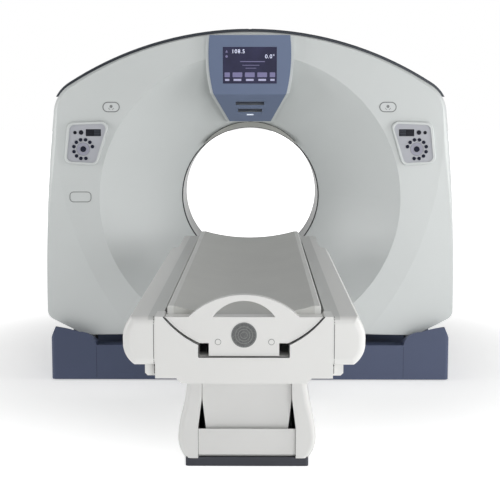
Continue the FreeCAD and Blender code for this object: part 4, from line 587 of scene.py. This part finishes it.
MEDALLION_HEIGHT = 0.669
MEDALLION_RADIUS = 0.0355
SCREW_CAPS = {"left": -0.0788, "right": 0.0833}
SCREW_CAP_HEIGHT = 0.6477

# The joint of the foot cover slopes inwards from its top to its foot, with a slight bow.
SLOPE_TOP = (0.245, 0.7255)
SLOPE_RUN = (0.107, 0.0855)
SLOPE_BOW = (0.0050, 0.0062)
SLOPE_FOOT = (0.138, 0.602)
FOOT_FLOOR_HEIGHT = 0.6012
PANEL_JOINT_X = 0.1856
PANEL_JOINT_HEIGHTS = (0.038, 0.07, 0.10, 0.142)
PANEL_FLOOR_HEIGHT = 0.0372

# A seam has its distance from the middle plane and its two heights.
END_SEAM = (0.2738, 0.7235, 0.546)
BASE_SEAM = (0.764, 0.012, 0.17)
BASE_SEAM_ASIDE = 0.008
SEAM_SINK = 0.0004

# The rounded end corners of the pedestal's side covers, and the strip that lies inside them.
LEG_LOW = 0.0362
LEG_RISE = 0.3125
LEG_SAMPLES = 45
LEG_ENDS = ((-1.940, 1), (-0.885, -1))
LEG_PROBE_Y = -1.4
LEG_CORNER = 0.022
LEG_STRIP = ((0.02185, (22, 32, 42, 52, 64)), (0.0195, (64, 52, 42, 32, 22)))


def foot_details():
    """The plain round medallion and two screw caps on the block at the foot of the table."""
    block = ["foot_block"]
    place = on_front(block, 0.0, MEDALLION_HEIGHT)
    disc = plate_mesh("medallion", circle_outline(MEDALLION_RADIUS, 64), 0.0016, 0.0007)
    seated("medallion", disc, place, MEDALLION, "cradle")
    seated("medallion_rim", ring_mesh("rim", circle_outline(0.0372, 64), 0.0028, 0.0012), place,
           SOFT_SEAM, "cradle")
    for number, radius in enumerate((0.010, 0.018, 0.026)):
        seated(f"medallion_ring_{number}", ring_mesh("ring", circle_outline(radius, 48), 0.0016, 0.0021),
               place, MEDALLION_LINE, "cradle")
    for side, x in SCREW_CAPS.items():
        place = on_front(block, x, SCREW_CAP_HEIGHT)
        seated(f"screw_cap_{side}", plate_mesh("cap", circle_outline(0.0080, 32), 0.0012, 0.0006), place,
               TABLE_WHITE, "cradle")
        seated(f"screw_cap_rim_{side}", ring_mesh("rim", circle_outline(0.0088, 32), 0.0014, 0.0005), place,
               SOFT_SEAM, "cradle")


def bead(name, path, radius, body):
    """A dark joint line along a path, on one of the white covers of the table."""
    piece(name, tube_mesh(name, path, radius, closed=False), SEAM, body)


def seam(name, nodes, points, radius, body, material=SEAM, aside=0.0):
    """A dark joint line at the depth that some CAD nodes have a little aside of it."""
    path = []
    for x, z in points:
        found = front_of(nodes, x + aside, z)
        if found:
            path.append((x, found[0].y + radius - SEAM_SINK, z))
    piece(name, tube_mesh(name, path, radius, closed=False), material, body)


def foot_slope(sign):
    """The sloping joint of the foot cover, as (x, z) points from its top down."""
    points = []
    for i in range(13):
        t = i / 12
        x = SLOPE_TOP[0] - SLOPE_RUN[0] * t + SLOPE_BOW[0] * 4 * t * (1 - t)
        z = SLOPE_TOP[1] - SLOPE_RUN[1] * t - SLOPE_BOW[1] * 4 * t * (1 - t)
        points.append((sign * x, z))
    return points


def upright(sign, place, steps):
    """Points along an upright seam at one side."""
    x, first, last = place
    return between((sign * x, first), (sign * x, last), steps)


def table_seams():
    """The joint lines at the foot of the table, of its pedestal and of the base covers."""
    foot_x, foot_z = SLOPE_FOOT
    for side, sign in (("left", -1), ("right", 1)):
        edge = front_of(["foot_cover"], sign * 0.21, 0.64)[0].y
        path = [(x, edge + 0.0015, z) for x, z in foot_slope(sign)]
        path.append((sign * foot_x, edge + 0.0015, foot_z))
        bead(f"foot_joint_{side}", path, 0.0019, "table_top")
        seam(f"end_seam_{side}", [f"table_side_{side}"], upright(sign, END_SEAM, 24), 0.0014, "table_top")
        panel = front_of(["pedestal_end_panels"], sign * 0.15, 0.09)[0].y
        path = [(sign * PANEL_JOINT_X, panel + 0.001, z) for z in PANEL_JOINT_HEIGHTS]
        bead(f"panel_joint_{side}", path, 0.0022, "base")
        seam(f"base_seam_{side}", [f"base_cover_{side}", "base_cover_centre"], upright(sign, BASE_SEAM, 20),
             0.0020, "base", SLOT_SHADE_AND_JOINT_DARK, aside=-sign * BASE_SEAM_ASIDE)
    edge = front_of(["foot_cover"], 0.0, 0.58)[0].y
    path = [(x, edge + 0.0012, FOOT_FLOOR_HEIGHT) for x in (-foot_x, -0.05, 0.05, foot_x)]
    bead("foot_joint_floor", path, 0.0016, "table_top")
    path = [(x, panel + 0.001, PANEL_FLOOR_HEIGHT) for x in (-0.182, -0.06, 0.06, 0.182)]
    bead("panel_joint_floor", path, 0.0016, "base")


def corner_strip(bm, outline, end, inward):
    """One strip along the rounded corner at an end of a side cover, added to bm."""
    rings = []
    for spot, normal in outline:
        ring = []
        for radius, angles in LEG_STRIP:
            for angle in angles:
                turn = math.radians(angle)
                place = spot - normal * (LEG_CORNER - radius * math.sin(turn))
                place.y = end + inward * (LEG_CORNER - radius * math.cos(turn))
                ring.append(bm.verts.new(place))
        rings.append(ring)
    for first, second in zip(rings, rings[1:]):
        around = len(first)
        for k in range(around):
            bm.faces.new((first[k], first[(k + 1) % around], second[(k + 1) % around], second[k]))
    bm.faces.new(rings[0])
    bm.faces.new(rings[-1])


def leg_edges():
    """Strips that close the rounded corners at the ends of the pedestal's side covers."""
    for side, sign in (("left", -1), ("right", 1)):
        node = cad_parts[f"pedestal_side_{side}"]
        outline = []
        for i in range(LEG_SAMPLES):
            z = LEG_LOW + LEG_RISE * i / (LEG_SAMPLES - 1)
            hit, spot, normal, _ = node.ray_cast(Vector((sign, LEG_PROBE_Y, z)), Vector((-sign, 0, 0)))
            if hit:
                outline.append((spot, normal))
        bm = bmesh.new()
        for end, inward in LEG_ENDS:
            corner_strip(bm, outline, end, inward)
        bmesh.ops.recalc_face_normals(bm, faces=bm.faces)
        mesh = bpy.data.meshes.new(f"leg_edge_{side}")
        bm.to_mesh(mesh)
        bm.free()
        for face in mesh.polygons:
            face.use_smooth = len(face.vertices) == 4
        piece(f"leg_edge_{side}", mesh, TABLE_WHITE, "base")


# ---------------------------------------------------------------- painted shade and highlight

# Painted shade: the flat top strip of the side covers' rails is darkened, as weak light from above would
# leave it.
RAIL_PAINTED_SHADE = [0.80, 0.81, 0.81]
RAIL_EDGE_X = 0.2905
RAIL_LOW = 0.716
# A painted highlight: the cradle is lighter beyond this distance from the middle plane, along its curved
# outer edges where light catches them.
CRADLE_EDGE_PAINTED_HIGHLIGHT = [1.22, 1.22, 1.24]
CRADLE_EDGE_X = 0.2165
ZONE_BLUR = 0.0012


def paint_light_zone(material, factor, low_x=None, high_x=None, low_z=None):
    """Multiplies a finish's colour between two distances from the middle plane, above a height: painted
    shade where the factor is below one, a painted highlight where it is above.
    """
    tree = material.node_tree
    shader = tree.nodes["Principled BSDF"]
    colour = shader.inputs["Base Color"].links[0].from_socket
    axes = tree.nodes.new("ShaderNodeSeparateXYZ")
    tree.links.new(tree.nodes["Texture Coordinate"].outputs["Object"], axes.inputs[0])
    off = tree.nodes.new("ShaderNodeMath")
    off.operation = "ABSOLUTE"
    tree.links.new(axes.outputs["X"], off.inputs[0])
    light_zone_mask = None
    for source, begin, end in ((off.outputs[0], low_x, 1), (off.outputs[0], high_x, -1),
                               (axes.outputs["Z"], low_z, 1)):
        if begin is None:
            continue
        step = node_of(tree, "ShaderNodeMapRange")
        step.inputs["From Min"].default_value = begin - ZONE_BLUR * end
        step.inputs["From Max"].default_value = begin + ZONE_BLUR * end
        tree.links.new(source, step.inputs["Value"])
        if light_zone_mask is None:
            light_zone_mask = step.outputs["Result"]
        else:
            both = tree.nodes.new("ShaderNodeMath")
            both.operation = "MULTIPLY"
            tree.links.new(light_zone_mask, both.inputs[0])
            tree.links.new(step.outputs["Result"], both.inputs[1])
            light_zone_mask = both.outputs["Value"]
    mix = tree.nodes.new("ShaderNodeMix")
    mix.data_type = "RGBA"
    mix.blend_type = "MULTIPLY"
    for socket in mix.inputs:
        if socket.type == "RGBA" and socket.name == "A":
            tree.links.new(colour, socket)
        if socket.type == "RGBA" and socket.name == "B":
            socket.default_value = factor + [1.0]
    tree.links.new(light_zone_mask, mix.inputs["Factor"])
    result = [socket for socket in mix.outputs if socket.type == "RGBA"][0]
    tree.links.new(result, shader.inputs["Base Color"])


# ---------------------------------------------------------------- stage

# The table's lines meet at a point this far above and beside the middle of the photograph, which gives
# the camera's direction. It doesn't give the focal length, which is assumed.
PITCH_PIXELS = 143.0
YAW_PIXELS = 9.0
PHOTO_PIXELS = 500.0
FOCAL_PIXELS = 1170.0
CAMERA_PLACE = (0.045, -6.24, 1.3547)

# Each lamp has its place, width and power. All are aimed at one point.
LAMPS = {
    "front": ((2.4, -6.8, 1.0), 2.0, 64.0),
    "high": ((0.8, -6.0, 4.2), 2.5, 44.0),
    "right": ((5.0, -1.6, 2.0), 2.5, 92.0),
    "left": ((-5.0, -1.8, 2.0), 2.5, 86.0),
    "low_right": ((5.0, -3.5, 0.9), 2.0, 42.0),
}
LAMP_AIM = (0.0, -0.6, 0.8)

# The floor glows: by distance from the middle where the camera sees it, evenly elsewhere.
FLOOR_REACH = 60
FLOOR_NEAR, FLOOR_FAR = 1.1, 3.4
FLOOR_GLOW_NEAR, FLOOR_GLOW_FAR = 0.40, 1.4
FLOOR_GLOW_UNSEEN = 0.44
SKY_UNSEEN, SKY_SEEN = 0.28, 1.0


def photo_camera():
    """The photograph's viewpoint: a long lens in front of the table's foot, looking slightly down."""
    camera = bpy.data.cameras.new("camera")
    camera.sensor_width = 36.0
    camera.lens = FOCAL_PIXELS / PHOTO_PIXELS * camera.sensor_width
    camera.clip_end = 100.0
    obj = bpy.data.objects.new("camera", camera)
    bpy.context.scene.collection.objects.link(obj)
    obj.location = CAMERA_PLACE
    pitch = math.atan(PITCH_PIXELS / FOCAL_PIXELS)
    yaw = math.atan(YAW_PIXELS / FOCAL_PIXELS)
    obj.rotation_euler = Euler((math.pi / 2 - pitch, 0.0, yaw), "XYZ")
    bpy.context.scene.camera = obj


def floor_finish():
    """Pale and matt, and brighter away from the scanner."""
    material = bpy.data.materials.new("floor_white")
    material.use_nodes = True
    tree = material.node_tree
    shader = tree.nodes["Principled BSDF"]
    shader.inputs["Base Color"].default_value = (0.8, 0.8, 0.8, 1.0)
    shader.inputs["Roughness"].default_value = 0.9
    shader.inputs["Specular IOR Level"].default_value = 0.1
    shader.inputs["Emission Color"].default_value = (1.0, 1.0, 1.0, 1.0)
    place = tree.nodes.new("ShaderNodeTexCoord")
    reach = tree.nodes.new("ShaderNodeVectorMath")
    reach.operation = "LENGTH"
    tree.links.new(place.outputs["Object"], reach.inputs[0])
    far = tree.nodes.new("ShaderNodeMapRange")
    far.interpolation_type = "SMOOTHSTEP"
    far.inputs["From Min"].default_value = FLOOR_NEAR
    far.inputs["From Max"].default_value = FLOOR_FAR
    far.inputs["To Min"].default_value = FLOOR_GLOW_NEAR
    far.inputs["To Max"].default_value = FLOOR_GLOW_FAR
    tree.links.new(reach.outputs["Value"], far.inputs["Value"])
    path = tree.nodes.new("ShaderNodeLightPath")
    lift = tree.nodes.new("ShaderNodeMapRange")
    lift.inputs["To Min"].default_value = FLOOR_GLOW_UNSEEN
    tree.links.new(path.outputs["Is Camera Ray"], lift.inputs["Value"])
    tree.links.new(far.outputs["Result"], lift.inputs["To Max"])
    tree.links.new(lift.outputs["Result"], shader.inputs["Emission Strength"])
    return material


def studio_floor():
    """A wide flat floor under the scanner."""
    mesh = bpy.data.meshes.new("floor")
    corners = [(x * FLOOR_REACH, y * FLOOR_REACH, 0) for x, y in ((-1, -1), (1, -1), (1, 1), (-1, 1))]
    mesh.from_pydata(corners, [], [(0, 1, 2, 3)])
    floor = bpy.data.objects.new("floor", mesh)
    bpy.context.scene.collection.objects.link(floor)
    mesh.materials.append(floor_finish())


def studio_world():
    """A white surround, dimmer for the light it gives than where the camera sees it."""
    world = bpy.data.worlds.new("world")
    bpy.context.scene.world = world
    world.use_nodes = True
    tree = world.node_tree
    back = tree.nodes["Background"]
    back.inputs["Color"].default_value = (1.0, 1.0, 1.0, 1.0)
    path = tree.nodes.new("ShaderNodeLightPath")
    seen = tree.nodes.new("ShaderNodeMath")
    seen.operation = "MAXIMUM"
    tree.links.new(path.outputs["Is Camera Ray"], seen.inputs[0])
    tree.links.new(path.outputs["Is Transmission Ray"], seen.inputs[1])
    level = tree.nodes.new("ShaderNodeMapRange")
    level.inputs["To Min"].default_value = SKY_UNSEEN
    level.inputs["To Max"].default_value = SKY_SEEN
    tree.links.new(seen.outputs["Value"], level.inputs["Value"])
    tree.links.new(level.outputs["Result"], back.inputs["Strength"])


def studio_lamps():
    """Soft square lamps in front, above and at both sides."""
    for name, (place, width, power) in LAMPS.items():
        lamp = bpy.data.lights.new(name, "AREA")
        lamp.shape = "SQUARE"
        lamp.size = width
        lamp.energy = power
        obj = bpy.data.objects.new(name, lamp)
        bpy.context.scene.collection.objects.link(obj)
        obj.location = place
        aim = Vector(LAMP_AIM) - Vector(place)
        obj.rotation_euler = aim.to_track_quat("-Z", "Y").to_euler()


photo_camera()
studio_floor()
studio_world()
studio_lamps()
bpy.context.scene.view_settings.view_transform = "Standard"
dress_nodes()
display_readout()
display_details()
gantry_badges()
control_details()
bore_lines()
foot_details()
table_seams()
leg_edges()
window_line()
# Painted shade on the flat top strip of the side covers' rails.
paint_light_zone(TABLE_SIDE_RAIL_SHADE, RAIL_PAINTED_SHADE, high_x=RAIL_EDGE_X, low_z=RAIL_LOW)
# A painted highlight along the cradle's curved outer edges.
paint_light_zone(CRADLE_WITH_EDGE_HIGHLIGHT, CRADLE_EDGE_PAINTED_HIGHLIGHT, low_x=CRADLE_EDGE_X)
